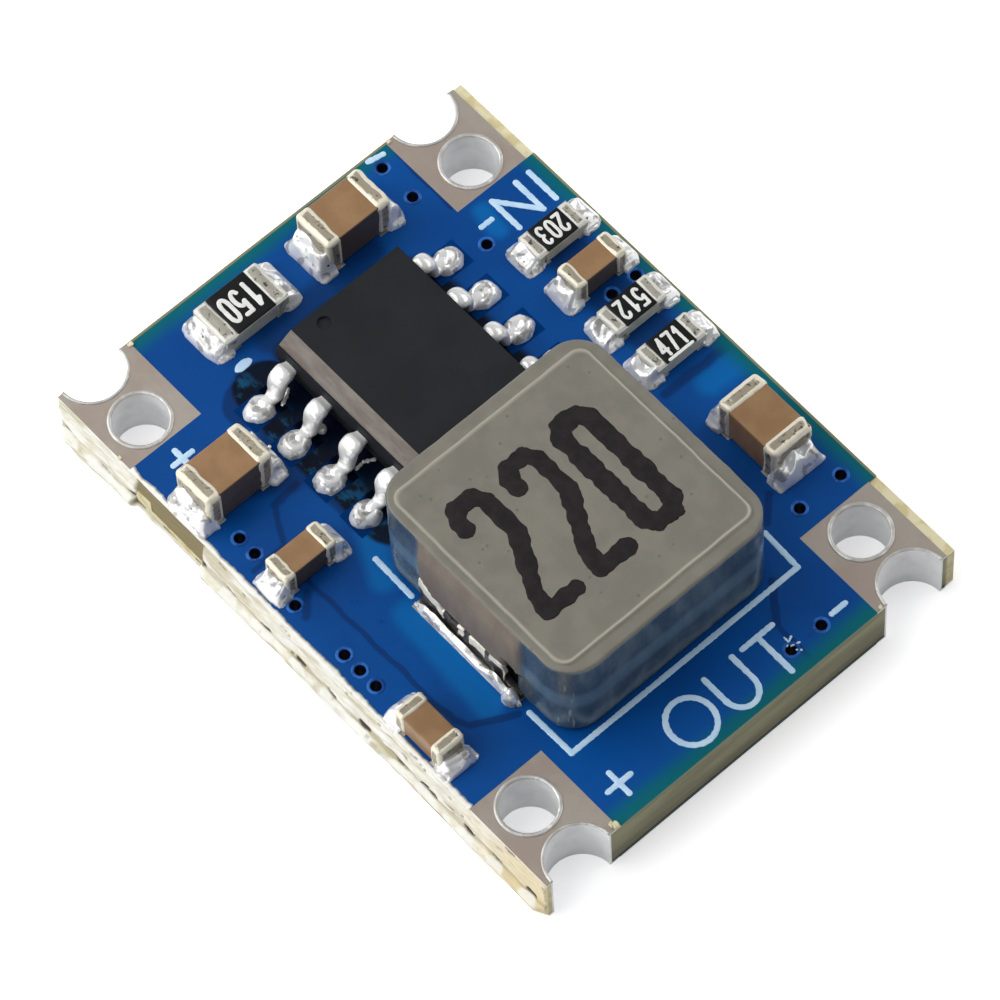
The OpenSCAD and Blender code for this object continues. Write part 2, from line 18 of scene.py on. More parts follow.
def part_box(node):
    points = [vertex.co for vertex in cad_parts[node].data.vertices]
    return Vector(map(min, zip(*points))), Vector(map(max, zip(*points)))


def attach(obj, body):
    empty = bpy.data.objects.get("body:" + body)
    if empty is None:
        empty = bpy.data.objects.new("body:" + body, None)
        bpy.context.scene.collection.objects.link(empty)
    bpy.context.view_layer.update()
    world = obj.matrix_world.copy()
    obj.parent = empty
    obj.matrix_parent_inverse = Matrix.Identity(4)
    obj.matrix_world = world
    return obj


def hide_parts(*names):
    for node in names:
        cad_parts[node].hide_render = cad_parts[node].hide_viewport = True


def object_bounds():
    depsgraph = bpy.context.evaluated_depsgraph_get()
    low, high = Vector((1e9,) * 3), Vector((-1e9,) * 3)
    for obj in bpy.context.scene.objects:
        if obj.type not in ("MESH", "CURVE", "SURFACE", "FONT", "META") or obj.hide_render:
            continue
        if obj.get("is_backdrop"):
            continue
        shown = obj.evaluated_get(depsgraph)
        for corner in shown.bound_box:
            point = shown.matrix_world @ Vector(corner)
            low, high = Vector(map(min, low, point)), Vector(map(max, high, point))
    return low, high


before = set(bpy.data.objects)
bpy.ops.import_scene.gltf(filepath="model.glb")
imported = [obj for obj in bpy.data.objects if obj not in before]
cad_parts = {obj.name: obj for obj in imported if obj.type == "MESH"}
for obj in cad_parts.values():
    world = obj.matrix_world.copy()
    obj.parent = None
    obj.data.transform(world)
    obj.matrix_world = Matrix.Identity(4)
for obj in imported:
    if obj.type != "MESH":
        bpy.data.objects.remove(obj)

CAD_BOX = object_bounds()
MM = 0.001
BODY = "root"
LOG = logging.getLogger("buck_converter")
PADS = ("pad_in_plus", "pad_in_minus", "pad_out_plus", "pad_out_minus")
X_AXIS, Y_AXIS, Z_AXIS = np.eye(3)

Array = np.ndarray
Colour = tuple[float, float, float]
Faces = list[list[int]]


def srgb(red: int, green: int, blue: int) -> Colour:
    """Linear colour of three display values from 0 to 255."""
    parts = [value / 255 for value in (red, green, blue)]
    return tuple(c / 12.92 if c <= 0.04045 else ((c + 0.055) / 1.055) ** 2.4 for c in parts)


@dataclass(frozen=True)
class Box:
    """Lowest and highest corner of CAD nodes, in millimetres."""

    low: Array
    high: Array

    @classmethod
    def of(cls, *nodes: str) -> "Box":
        """Box round the named CAD nodes."""
        corners = [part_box(node) for node in nodes]
        low = np.min([np.array(c[0]) for c in corners], axis=0) / MM
        high = np.max([np.array(c[1]) for c in corners], axis=0) / MM
        return cls(low, high)

    @property
    def centre(self) -> Array:
        """Middle of the box."""
        return (self.low + self.high) / 2

    @property
    def size(self) -> Array:
        """Side lengths of the box."""
        return self.high - self.low


# ---------- Surfaces ----------


def smooth_step(low: float, high: float, value: Array) -> Array:
    """Soft step from 0 at low to 1 at high."""
    t = np.clip((value - low) / (high - low), 0, 1)
    return t * t * (3 - 2 * t)


def waves(points: Array, length: float, seed: int, octaves: int = 3) -> Array:
    """Smooth unevenness: the sum of sines that run in seeded directions.

    Each octave has six plane waves of half the last one's length and 0.55 of
    its height, so the result stays near -1 to 1.

    Args:
        points: Places as rows of coordinates.
        length: Longest wavelength, in the points' unit.
        seed: Seed of the directions and phases.
        octaves: Number of octaves.

    Returns:
        One value for each point.
    """
    random = np.random.default_rng(seed)
    total = np.zeros(points.shape[:-1])
    for octave in range(octaves):
        for _ in range(6):
            direction = random.normal(size=points.shape[-1])
            direction *= 2 * math.pi * 2**octave / (length * np.linalg.norm(direction))
            phase = random.uniform(0, 2 * math.pi)
            total += 0.55**octave * np.sin(points @ direction + phase) / 3
    return total


def ripple(x: Array, length: float, seed: int) -> Array:
    """Smooth unevenness along one coordinate."""
    return waves(np.c_[x, x], length, seed, 2)


def circle(turn: Array | float) -> Array:
    """Points of the unit circle at angles in radians."""
    return np.stack([np.cos(turn), np.sin(turn)], axis=-1)


def squared(unit: Array, power: float) -> Array:
    """Carries the unit circle onto a superellipse, which is squarer at a higher power."""
    return np.sign(unit) * np.abs(unit) ** (2 / power)


def lattice(rows: int, columns: int, wrap: bool = False) -> Array:
    """Quads between neighbouring points of a grid that is stored row by row.

    Args:
        rows: Number of rows of points.
        columns: Number of points in a row.
        wrap: Whether the last point of a row joins the first.

    Returns:
        Corner indices, four to a quad.
    """
    row, column = np.meshgrid(
        np.arange(rows - 1), np.arange(columns if wrap else columns - 1), indexing="ij"
    )
    after = (column + 1) % columns
    corners = [row * columns + column, row * columns + after,
               (row + 1) * columns + after, (row + 1) * columns + column]
    return np.stack(corners, axis=-1).reshape(-1, 4)


def weld(points: Array, quads: Array) -> tuple[Array, Faces, Array]:
    """Joins points at one place, so that seams and poles close.

    Args:
        points: Places as rows.
        quads: Corner indices, four to a quad.

    Returns:
        The kept points, the faces, and each old point's new index.
    """
    _, first, back = np.unique(np.round(points, 5), axis=0, return_index=True, return_inverse=True)
    back = back.reshape(-1)
    quads = back[quads]
    same = quads == np.roll(quads, -1, axis=1)
    whole = quads[~same.any(axis=1)]
    faces = whole.tolist()
    for corner in range(4):
        single = same[:, corner] & (same.sum(axis=1) == 1)
        faces += np.delete(quads[single], corner, axis=1).tolist()
    return points[first], faces, back


def outward(points: Array, quads: Array) -> Array:
    """Quads of a closed surface, turned round when they face inwards.

    The sum of a b x c over the triangles is six times the volume, and is
    negative when the faces point inwards.
    """
    a, b, c, d = (points[quads[:, k]] - points.mean(axis=0) for k in range(4))
    volume = (a * (np.cross(b, c) + np.cross(c, d))).sum()
    return quads if volume > 0 else quads[:, ::-1]


class Mesh:
    """Closed surfaces collected for one piece, with named masks on their points."""

    def __init__(self) -> None:
        """Starts with no surface."""
        self.points: list[Array] = []
        self.faces: Faces = []
        self.masks: dict[str, list[tuple[int, Array]]] = {}
        self.count = 0

    def add(self, points: Array, quads: Array, **masks: Array) -> None:
        """Adds one closed surface.

        Args:
            points: Places in millimetres, as rows.
            quads: Corner indices, four to a quad.
            **masks: Masks by name, one value for each point.
        """
        kept, faces, back = weld(points, outward(points, quads))
        for name, values in masks.items():
            mask = np.zeros(len(kept))
            mask[back] = values
            self.masks.setdefault(name, []).append((self.count, mask))
        self.points.append(kept)
        self.faces += [[self.count + corner for corner in face] for face in faces]
        self.count += len(kept)

    def make(self, name: str, finish: "Finish", slot: str, replaces: Sequence[str] = ()) -> None:
        """Makes the piece and puts it on the frame.

        Args:
            name: Name of the piece.
            finish: Its finish.
            slot: Not used.
            replaces: CAD nodes that the piece stands for.
        """
        data = bpy.data.meshes.new(name)
        data.from_pydata((np.concatenate(self.points) * MM).tolist(), [], self.faces)
        data.polygons.foreach_set("use_smooth", np.ones(len(data.polygons), dtype=bool))
        for title, parts in self.masks.items():
            values = np.zeros(self.count, dtype=np.float32)
            for start, mask in parts:
                values[start : start + len(mask)] = mask
            data.attributes.new(title, "FLOAT", "POINT").data.foreach_set("value", values)
        data.materials.append(finish.material())
        data.validate()
        data.update()
        piece = bpy.data.objects.new(name, data)
        bpy.context.scene.collection.objects.link(piece)
        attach(piece, BODY)
        if replaces:
            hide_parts(*replaces)
        LOG.info("%s: %d faces", name, len(self.faces))


def make_piece(name: str, finish: "Finish", slot: str, surface: tuple[Array, Array],
               replaces: Sequence[str] = (), **masks: Array) -> None:
    """Makes a piece of one closed surface.

    Args:
        name: Name of the piece.
        finish: Its finish.
        slot: The record's material slot.
        surface: Its points and quads.
        replaces: CAD nodes that the piece stands for.
        **masks: Masks by name, one value for each point.
    """
    mesh = Mesh()
    mesh.add(*surface, **masks)
    mesh.make(name, finish, slot, replaces)


def rounded_line(half: float, radius: float, arc: int, flat: int) -> Array:
    """Coordinates across one face of a block, closer together on its round edges."""
    inner = half - radius
    turn = inner + radius * np.tan(np.linspace(0, math.pi / 4, arc + 1))[1:]
    return np.concatenate([-turn[::-1], np.linspace(-inner, inner, flat + 1), turn])


def rounded_block(
    half: Sequence[float], radius: float, arc: int, flat: int = 6
) -> tuple[Array, Array, Array]:
    """Closed block with round edges and corners.

    Each point of the plain block's six gridded faces is pulled to the distance
    radius from the nearest point of the block that is smaller by radius.

    Args:
        half: Half the block's length, width and height.
        radius: Radius of its edges.
        arc: Steps over an eighth of a turn.
        flat: Steps over each flat.

    Returns:
        Points, quads, and the mask that is 1 on each face's border.
    """
    half = np.array(half, dtype=float)
    points, quads, gaps, start = [], [], [], 0
    for axis in range(3):
        across, up = (axis + 1) % 3, (axis + 2) % 3
        a = rounded_line(half[across], radius, arc, flat)
        b = rounded_line(half[up], radius, arc, flat)
        for side in (-1, 1):
            face = np.empty((len(a), len(b), 3))
            face[..., axis] = side * half[axis]
            face[..., across], face[..., up] = np.meshgrid(a, b, indexing="ij")
            corners = lattice(len(a), len(b)) + start
            quads.append(corners if side < 0 else corners[:, ::-1])
            points.append(face.reshape(-1, 3))
            gap = half[[across, up]] - np.abs(face[..., [across, up]])
            gaps.append(gap.min(axis=-1).reshape(-1))
            start += len(a) * len(b)
    flat_points = np.concatenate(points)
    core = np.clip(flat_points, radius - half, half - radius)
    out = flat_points - core
    out /= np.linalg.norm(out, axis=1, keepdims=True)
    rim = smooth_step(1.15 * radius, 0.7 * radius, np.concatenate(gaps))
    return core + radius * out, np.concatenate(quads), rim


def sweep(path: Array, across: Array, up: Array, section: Array) -> tuple[Array, Array]:
    """Closed tube: a closed section carried along a path.

    Args:
        path: Middle line, one row for each station.
        across: Unit vector of the section's first coordinate, one for all or each station.
        up: Unit vector of its second coordinate, likewise.
        section: Section points at each station, as stations by points by two.

    Returns:
        Points and quads, with both ends drawn in to the middle line.
    """
    across, up = (np.broadcast_to(way, path.shape)[:, None] for way in (across, up))
    ring = path[:, None] + section[..., :1] * across + section[..., 1:] * up
    ends = [np.repeat(ring[k].mean(axis=0)[None], ring.shape[1], axis=0)[None] for k in (0, -1)]
    ring = np.concatenate([ends[0], ring, ends[1]])
    return ring.reshape(-1, 3), lattice(ring.shape[0], ring.shape[1], wrap=True)


def oval(half_width: Array, half_height: Array, power: float, count: int) -> Array:
    """Sections shaped as superellipses, counter-clockwise, one for each station."""
    shape = squared(circle(np.linspace(0, 2 * math.pi, count, endpoint=False)), power)
    size = np.stack([half_width, half_height], axis=-1)
    return shape[None] * size[:, None]


def bead(
    half: Sequence[float], height: Callable[[Array, Array], Array], power: float,
    rings: int = 22, sectors: int = 56, uneven: float = 0.05, seed: int = 0,
) -> tuple[Array, Array]:
    """Closed mound on a flat: a height over a superellipse, and a flat bottom.

    Args:
        half: Half the footprint's length and width.
        height: Height as a function of the two flat coordinates.
        power: Squareness of the footprint, 2 for an ellipse.
        rings: Rings from the middle to the rim.
        sectors: Points round the rim.
        uneven: How far the rim wanders, as a share of its size.
        seed: Seed of that wander.

    Returns:
        Points and quads.
    """
    unit = circle(np.linspace(0, 2 * math.pi, sectors, endpoint=False))
    rim = squared(unit, power) * np.array(half)
    rim *= 1 + uneven * waves(unit, 1.6, seed)[:, None]
    spread = np.sin(np.linspace(0, math.pi / 2, rings))
    x, y = (spread[:, None, None] * rim[None]).transpose(2, 0, 1)
    edge = (1 - spread[:, None] ** 6) ** 0.5 + 0 * x
    top = np.stack([x, y, height(x, y) * edge], axis=-1)
    floor = np.zeros((2, sectors, 3))
    floor[0] = top[-1]
    points = np.concatenate([top, floor])
    return points.reshape(-1, 3), lattice(len(points), sectors, wrap=True)


# ---------- Shader trees ----------

Socket = bpy.types.NodeSocket
Inputs = bpy.types.NodeInputs
Value = Socket | float | Sequence[float]
# Most of a noise's values lie between these.
NOISE_RANGE = (0.35, 0.65)


class Tree:
    """Short calls that add nodes to one material's or group's tree."""

    def __init__(self, tree: bpy.types.NodeTree) -> None:
        """Keeps the tree."""
        self.tree = tree

    def node(self, kind: str, inputs: dict[str | int, Value] | None = None, **settings) -> bpy.types.Node:
        """Adds a node.

        Args:
            kind: Node type, without its leading ShaderNode.
            inputs: Values or sockets for its inputs, by name or number.
            **settings: Its properties.

        Returns:
            The node.
        """
        made = self.tree.nodes.new("ShaderNode" + kind)
        for key, value in settings.items():
            setattr(made, key, value)
        self.fill(made.inputs, inputs or {})
        return made

    def wire(self, value: Value, target: Socket) -> None:
        """Links a socket to the target, or sets the target's own value."""
        if isinstance(value, Socket):
            self.tree.links.new(value, target)
        else:
            wants = getattr(target.default_value, "__len__", lambda: 1)()
            if wants == 4 and len(value) == 3:
                value = (*value, 1.0)
            target.default_value = value

    def fill(self, inputs: Inputs, values: dict[str | int, Value]) -> None:
        """Links or sets several inputs of one node."""
        for key, value in values.items():
            self.wire(value, inputs[key])

    def place(self) -> Socket:
        """Object coordinates, in metres."""
        return self.node("TexCoord").outputs["Object"]

    def math(self, operation: str, *values: Value) -> Socket:
        """One arithmetic step."""
        return self.node("Math", dict(enumerate(values)), operation=operation).outputs[0]

    def times(self, first: Value, second: Value) -> Socket:
        """Product of two values."""
        return self.math("MULTIPLY", first, second)

    def rest(self, share: Value) -> Socket:
        """What a share leaves of one."""
        return self.math("SUBTRACT", 1.0, share)

    def vector(self, operation: str, *values: Value) -> Socket:
        """One vector step."""
        made = self.node("VectorMath", dict(enumerate(values)), operation=operation)
        return made.outputs["Value" if operation in ("LENGTH", "DOT_PRODUCT") else "Vector"]

    def stretch(self, place: Value, scale: Sequence[float]) -> Socket:
        """Place with each axis multiplied, so that a pattern on it is stretched."""
        return self.vector("MULTIPLY", place, scale)

    def split(self, value: Value) -> tuple[Socket, ...]:
        """The three parts of a vector."""
        return tuple(self.node("SeparateXYZ", {0: value}).outputs)

    def normal(self) -> tuple[Socket, ...]:
        """The three parts of the surface's own normal."""
        return self.split(self.node("TexCoord").outputs["Normal"])

    def mask(self, name: str) -> Socket:
        """One of the piece's own masks."""
        return self.node("Attribute", attribute_name=name, attribute_type="GEOMETRY").outputs["Fac"]

    def texture(self, place: Value, scale: Value, detail: float, rough: float = 0.5) -> Socket:
        """Noise from 0 to 1, with scale patches to the metre."""
        inputs = {"Vector": place, "Scale": scale, "Detail": detail, "Roughness": rough}
        return self.node("TexNoise", inputs).outputs["Fac"]

    def noise(self, place: Value, size: float, detail: float, rough: float = 0.55) -> Socket:
        """Noise from 0 to 1 whose patches are about size millimetres wide."""
        return self.texture(place, 1 / (size * MM), detail, rough)

    def band(self, value: Value, low: Value, high: Value) -> Socket:
        """0 below low, 1 above high, and a soft step between; falls when low is over high."""
        inputs = {"Value": value, "From Min": low, "From Max": high}
        return self.node("MapRange", inputs, interpolation_type="SMOOTHSTEP").outputs["Result"]

    def reach(self, length: Value, low: float, high: float) -> Socket:
        """A band over a length, with its limits in millimetres."""
        return self.band(length, low * MM, high * MM)

    def near(self, length: Value, middle: float, outer: float, inner: float) -> Socket:
        """1 within inner millimetres of the middle, and 0 beyond outer millimetres."""
        return self.reach(self.math("ABSOLUTE", self.math("SUBTRACT", length, middle * MM)), outer, inner)

    def within(self, length: Value, low: float, high: float, outer: float, inner: float) -> Socket:
        """1 from low to high and inner millimetres round them, and 0 beyond outer millimetres."""
        return self.times(self.reach(length, low - outer, low - inner),
                          self.reach(length, high + outer, high + inner))

    def span(self, value: Value, low: float, high: float, ends: tuple[float, float] = (0, 1)) -> Socket:
        """Carries what lies between the ends evenly onto low to high."""
        inputs = {"Value": value, "From Min": ends[0], "From Max": ends[1], "To Min": low, "To Max": high}
        return self.node("MapRange", inputs).outputs["Result"]

    def mix(self, share: Value, first: Value, second: Value) -> Socket:
        """Mixes two colours."""
        return self.node("Mix", {0: share, 6: first, 7: second}, data_type="RGBA").outputs[2]

    def blend(self, share: Value, weight: float, first: Value, second: Value) -> Socket:
        """Mixes two colours by a share that is weakened by weight."""
        return self.mix(self.times(share, weight), first, second)

    def use(self, build: Callable[["Tree"], None], inputs: dict[str, Value]) -> bpy.types.NodeOutputs:
        """Places a shared group, which is built on its first use.

        Args:
            build: Function that builds the group, and whose name it carries.
            inputs: Values or sockets for its named inputs.

        Returns:
            The group's outputs.
        """
        group = bpy.data.node_groups.get(build.__name__)
        if not group:
            group = bpy.data.node_groups.new(build.__name__, "ShaderNodeTree")
            build(Tree(group))
        made = self.node("Group", node_tree=group)
        self.fill(made.inputs, inputs)
        return made.outputs

    def mottle(
        self, place: Value, size: float, colours: Sequence[Colour], share: float
    ) -> tuple[Socket, Socket]:
        """Three colours in patches.

        Args:
            place: Place, in metres.
            size: Width of the large patches in millimetres.
            colours: Two colours of the large patches and one of the small ones.
            share: How much the small patches cover.

        Returns:
            Colour and height.
        """
        first, second, third = colours
        made = self.use(mottle, {"Place": place, "Size": size, "First": first,
                                 "Second": second, "Third": third, "Share": share})
        return made["Color"], made["Height"]

    def specks(self, place: Value, spacing: float, radius: float, cover: float) -> Socket:
        """Mask of scattered round specks, of a radius and spacing in millimetres."""
        return self.use(speckle, {"Place": place, "Spacing": spacing, "Radius": radius,
                                  "Cover": cover})["Mask"]

    def grain(self, place: Value, size: float, depth: float, strength: float) -> Socket:
        """Normal of a fine unevenness, of a size and depth in millimetres."""
        return self.use(grain, {"Place": place, "Size": size, "Depth": depth,
                                "Strength": strength})["Normal"]

    def open(
        self, inputs: dict[str, str], outputs: dict[str, str]
    ) -> tuple[dict[str, Socket], Inputs]:
        """Gives a group its sockets.

        Args:
            inputs: Kind of each input by name.
            outputs: Kind of each output by name.

        Returns:
            What the group is given, by name, and its output node's inputs.
        """
        for way, titles in (("INPUT", inputs), ("OUTPUT", outputs)):
            for title, kind in titles.items():
                self.tree.interface.new_socket(title, in_out=way, socket_type="NodeSocket" + kind)
        source = self.tree.nodes.new("NodeGroupInput")
        sink = self.tree.nodes.new("NodeGroupOutput")
        return {title: source.outputs[title] for title in inputs}, sink.inputs


def mottle(tree: Tree) -> None:
    """Three colours in patches of two sizes.

    The large patches carry the first colour into the second, and small patches
    of the third lie over both.
    """
    given, sink = tree.open(
        {"Place": "Vector", "Size": "Float", "First": "Color", "Second": "Color",
         "Third": "Color", "Share": "Float"},
        {"Color": "Color", "Height": "Float"},
    )
    scale = tree.math("DIVIDE", 1 / MM, given["Size"])
    large = tree.texture(given["Place"], scale, 3)
    small = tree.texture(given["Place"], tree.times(scale, 5.3), 4, 0.65)
    broad = tree.mix(tree.band(large, 0.36, 0.64), given["First"], given["Second"])
    limit = tree.math("SUBTRACT", 0.78, tree.times(given["Share"], 0.4))
    over = tree.band(small, limit, tree.math("ADD", limit, 0.12))
    tree.fill(sink, {
        "Color": tree.mix(over, broad, given["Third"]),
        "Height": tree.math("ADD", tree.times(large, 0.6), tree.times(small, 0.4)),
    })


def speckle(tree: Tree) -> None:
    """Scattered round specks: near the middle of some cells of a jittered grid."""
    given, sink = tree.open(
        {"Place": "Vector", "Spacing": "Float", "Radius": "Float", "Cover": "Float"},
        {"Mask": "Float"},
    )
    scale = tree.math("DIVIDE", 1 / MM, given["Spacing"])
    cells = tree.node("TexVoronoi", {"Vector": given["Place"], "Scale": scale}).outputs
    chosen = tree.math("LESS_THAN", tree.split(cells["Color"])[0], given["Cover"])
    reach = tree.math("DIVIDE", given["Radius"], given["Spacing"])
    close = tree.band(cells["Distance"], reach, tree.times(reach, 0.6))
    tree.fill(sink, {"Mask": tree.times(chosen, close)})


def stretch_of_track(tree: Tree) -> None:
    """Straight line on the deck with round ends.

    The distance to the line from Start to End is the distance to its nearest
    point, Start + t (End - Start) with t held between 0 and 1.
    """
    given, sink = tree.open(
        {"Place": "Vector", "Start": "Vector", "End": "Vector", "Half Width": "Float", "Blur": "Float"},
        {"Mask": "Float"},
    )
    flat = tree.stretch(given["Place"], (1 / MM, 1 / MM, 0.0))
    run = tree.vector("SUBTRACT", given["End"], given["Start"])
    offset = tree.vector("SUBTRACT", flat, given["Start"])
    share = tree.math("DIVIDE", tree.vector("DOT_PRODUCT", offset, run),
                      tree.vector("DOT_PRODUCT", run, run))
    held = tree.node("Clamp", {0: share}).outputs[0]
    nearest = tree.node("VectorMath", {0: run, "Scale": held}, operation="SCALE").outputs["Vector"]
    gap = tree.vector("LENGTH", tree.vector("SUBTRACT", offset, nearest))
    outer = tree.math("ADD", given["Half Width"], given["Blur"])
    tree.fill(sink, {"Mask": tree.band(gap, outer, given["Half Width"])})


def grain(tree: Tree) -> None:
    """Fine unevenness as a normal: a bump from two sizes of noise."""
    given, sink = tree.open(
        {"Place": "Vector", "Size": "Float", "Depth": "Float", "Strength": "Float"},
        {"Normal": "Vector"},
    )
    scale = tree.math("DIVIDE", 1 / MM, given["Size"])
    broad = tree.texture(given["Place"], scale, 2)
    fine = tree.texture(given["Place"], tree.times(scale, 4.1), 3)
    height = tree.math("ADD", tree.times(broad, 0.65), tree.times(fine, 0.35))
    bump = tree.node("Bump", {"Strength": given["Strength"], "Height": height,
                              "Distance": tree.times(given["Depth"], MM)})
    tree.fill(sink, {"Normal": bump.outputs["Normal"]})


# ---------- Finishes ----------

MADE: dict[str, bpy.types.Material] = {}


class Finish:
    """A finish makes one material and keeps it for every piece that wears it."""

    name: str

    def material(self) -> bpy.types.Material:
        """The material, built on its first use."""
        if self.name not in MADE:
            made = bpy.data.materials.new(f"{self.name}_finish")
            made.use_nodes = True
            MADE[self.name] = made
            self.shade(Tree(made.node_tree), made.node_tree.nodes["Principled BSDF"].inputs)
        return MADE[self.name]

    def shade(self, tree: Tree, shader: Inputs) -> None:
        """Adds the finish's nodes and sets the shader's inputs."""
        raise NotImplementedError


@dataclass(frozen=True)
class Mottled(Finish):
    """Plain matter in uneven patches with a fine grain."""

    name: str
    first: Colour
    second: Colour
    third: Colour
    patch: float = 0.8
    share: float = 0.3
    metallic: float = 0.0
    smooth: float = 0.35
    rough: float = 0.6
    grain: float = 0.08
    depth: float = 0.01
    strength: float = 0.5
    specular: float = 0.5
    # Darker colour painted as shade on faces towards +X.
    end: Colour | None = None

    def shade(self, tree: Tree, shader: Inputs) -> None:
        """Patches colour the surface and vary its roughness; faces towards +X may get a darker colour as
        painted shade.
        """
        place = tree.place()
        colour, height = tree.mottle(place, self.patch, (self.first, self.second, self.third), self.share)
        if self.end:
            colour = tree.mix(tree.band(tree.normal()[0], 0.4, 0.75), colour, self.end)
        tree.fill(shader, {
            "Base Color": colour,
            "Roughness": tree.span(height, self.smooth, self.rough, NOISE_RANGE),
            "Normal": tree.grain(place, self.grain, self.depth, self.strength),
            "Metallic": self.metallic,
            "Specular IOR Level": self.specular,
        })


@dataclass(frozen=True)
class Track:
    """A straight stretch on the deck, its half width and the blur at its side."""

    start_x: float
    start_y: float
    end_x: float
    end_y: float
    half: float
    blur: float

    def mask(self, tree: Tree, place: Value) -> Socket:
        """The stretch's mask at a place in metres."""
        return tree.use(stretch_of_track, {
            "Place": place, "Start": (self.start_x, self.start_y, 0.0),
            "End": (self.end_x, self.end_y, 0.0), "Half Width": self.half, "Blur": self.blur,
        })["Mask"]


def tracks(*rows: tuple[float, ...]) -> tuple[Track, ...]:
    """Stretches from rows of their values."""
    return tuple(Track(*row) for row in rows)


@dataclass(frozen=True)
class MaskFinish(Finish):
    """Glossy solder mask over copper and bare laminate."""

    name: str = "blue_solder_mask"
    body: Colour = srgb(6, 70, 142)
    light: Colour = srgb(6, 77, 152)
    deep: Colour = srgb(5, 62, 130)
    bright: Colour = srgb(4, 106, 180)
    bare: Colour = srgb(5, 42, 96)
    edge: Colour = srgb(4, 100, 110)
    rim: Colour = srgb(134, 134, 104)
    # Dark navy of flux stains, also used as painted shade between and beside the parts.
    stain: Colour = srgb(5, 32, 74)
    # Near black of flux, also painted shadow under the controller's moulding.
    flux_and_shadow: Colour = srgb(4, 9, 19)
    fleck: Colour = srgb(16, 78, 116)
    edge_w: float = 0.65
    rim_w: float = 0.08
    wander: float = 0.25
    isolations: tuple[Track, ...] = tracks(
        (4.95, -3.95, 4.45, -4.95, 0.07, 0.06), (4.45, -5.0, 4.1, -5.12, 0.05, 0.06),
        (4.1, -5.14, -1.0, -5.22, 0.04, 0.06), (6.35, 2.7, 7.3, 2.0, 0.07, 0.06),
        (7.3, 2.0, 8.6, 1.95, 0.03, 0.06), (-3.0, -3.75, -3.0, -4.5, 0.05, 0.1),
        (-3.0, -4.5, -2.0, -5.0, 0.04, 0.06), (-2.0, -5.0, -2.0, -6.0, 0.04, 0.06),
        (-0.75, -5.4, -0.3, -5.9, 0.05, 0.1), (-8.6, 3.95, -6.2, 3.95, 0.05, 0.06),
        (1.05, 4.25, 1.05, 6.3, 0.06, 0.12), (4.7, 4.2, 5.2, 3.6, 0.05, 0.08),
    )
    patches: tuple[Track, ...] = tracks(
        (1.3, -4.1, 4.3, -4.3, 0.2, 0.35), (-1.0, -3.3, 0.2, -3.9, 0.15, 0.4),
        (1.5, 5.2, 1.5, 6.1, 0.15, 0.4), (-5.6, 4.4, -5.0, 4.3, 0.1, 0.3),
    )
    # Flux round the controller's leads, with painted shadow under the moulding and beside its input side.
    fluxed_and_shaded: tuple[Track, ...] = tracks(
        (-5.45, -2.6, -0.9, -2.6, 0.74, 0.14), (-5.4, 2.1, -1.2, 2.1, 0.3, 0.3),
        (-5.85, -1.6, -5.9, 1.5, 0.16, 0.3),
    )
    # Flux stains, with painted shade between the rear chips and beside the controller.
    stained_and_shaded: tuple[Track, ...] = tracks(
        (-3.2, 5.1, -0.4, 5.1, 0.4, 0.35), (-5.4, -3.1, -1.3, -3.1, 0.42, 0.12),
        (-5.5, -3.2, -5.4, -3.3, 0.5, 0.12), (-6.4, -1.6, -6.6, 1.6, 0.2, 0.4),
        (-4.1, -4.9, -3.3, -3.7, 0.3, 0.3),
    )

    def shade(self, tree: Tree, shader: Inputs) -> None:
        """Copper under the mask is bright, gaps are navy, the sawn edges turn green, and flux with painted
        shade darkens the deck round the parts.
        """
        board = Box.of("mask_top")
        place = tree.place()
        wobble = tree.node("TexNoise", {"Vector": place, "Scale": 900.0, "Detail": 3.0}).outputs["Color"]
        drift = tree.stretch(tree.vector("SUBTRACT", wobble, (0.5,) * 3), (self.wander * MM,) * 3)
        moved = tree.vector("ADD", place, drift)

        def strokes(stretches: Sequence[Track]) -> Socket:
            """The highest of the stretches' masks."""
            return functools.reduce(functools.partial(tree.math, "MAXIMUM"),
                                    [track.mask(tree, moved) for track in stretches])

        colour, height = tree.mottle(place, 2.6, (self.body, self.light, self.deep), 0.35)
        colour = tree.blend(strokes(self.patches), 0.75, colour, self.bright)
        colour = tree.blend(strokes(self.isolations), 0.65, colour, self.bare)
        x, y, _ = tree.split(moved)
        end_gap = tree.math("SUBTRACT", board.high[0] * MM, tree.math("ABSOLUTE", x))
        rear_gap = tree.math("SUBTRACT", board.high[1] * MM, y)
        gap = tree.math("MINIMUM", end_gap, rear_gap)
        colour = tree.mix(tree.reach(gap, self.edge_w, 0.1 * self.edge_w), colour, self.edge)
        still_x, still_y, _ = tree.split(place)
        input_gap = tree.math("ADD", still_x, -board.low[0] * MM)
        rim_gap = tree.math("MINIMUM", input_gap, tree.math("SUBTRACT", board.high[1] * MM, still_y))
        colour = tree.mix(tree.reach(rim_gap, self.rim_w, 0.6 * self.rim_w), colour, self.rim)
        # Stains and painted shade between the parts.
        colour = tree.blend(strokes(self.stained_and_shaded), 0.6, colour, self.stain)
        streak = tree.noise(tree.stretch(place, (0.6, 1.0, 1.0)), 0.3, 5, 0.65)
        fleck = tree.times(tree.band(streak, 0.5, 0.66), tree.reach(y, -2.3, -3.1))
        # Flux colour with teal flecks, which also stands for painted shadow round the controller.
        flux_shade_colour = tree.mix(fleck, self.flux_and_shadow, self.fleck)
        tree.fill(shader, {
            "Base Color": tree.blend(strokes(self.fluxed_and_shaded), 0.96, colour, flux_shade_colour),
            "Roughness": tree.span(height, 0.2, 0.45),
            "Normal": tree.grain(place, 0.5, 0.012, 0.35),
            "Specular IOR Level": 0.1,
        })


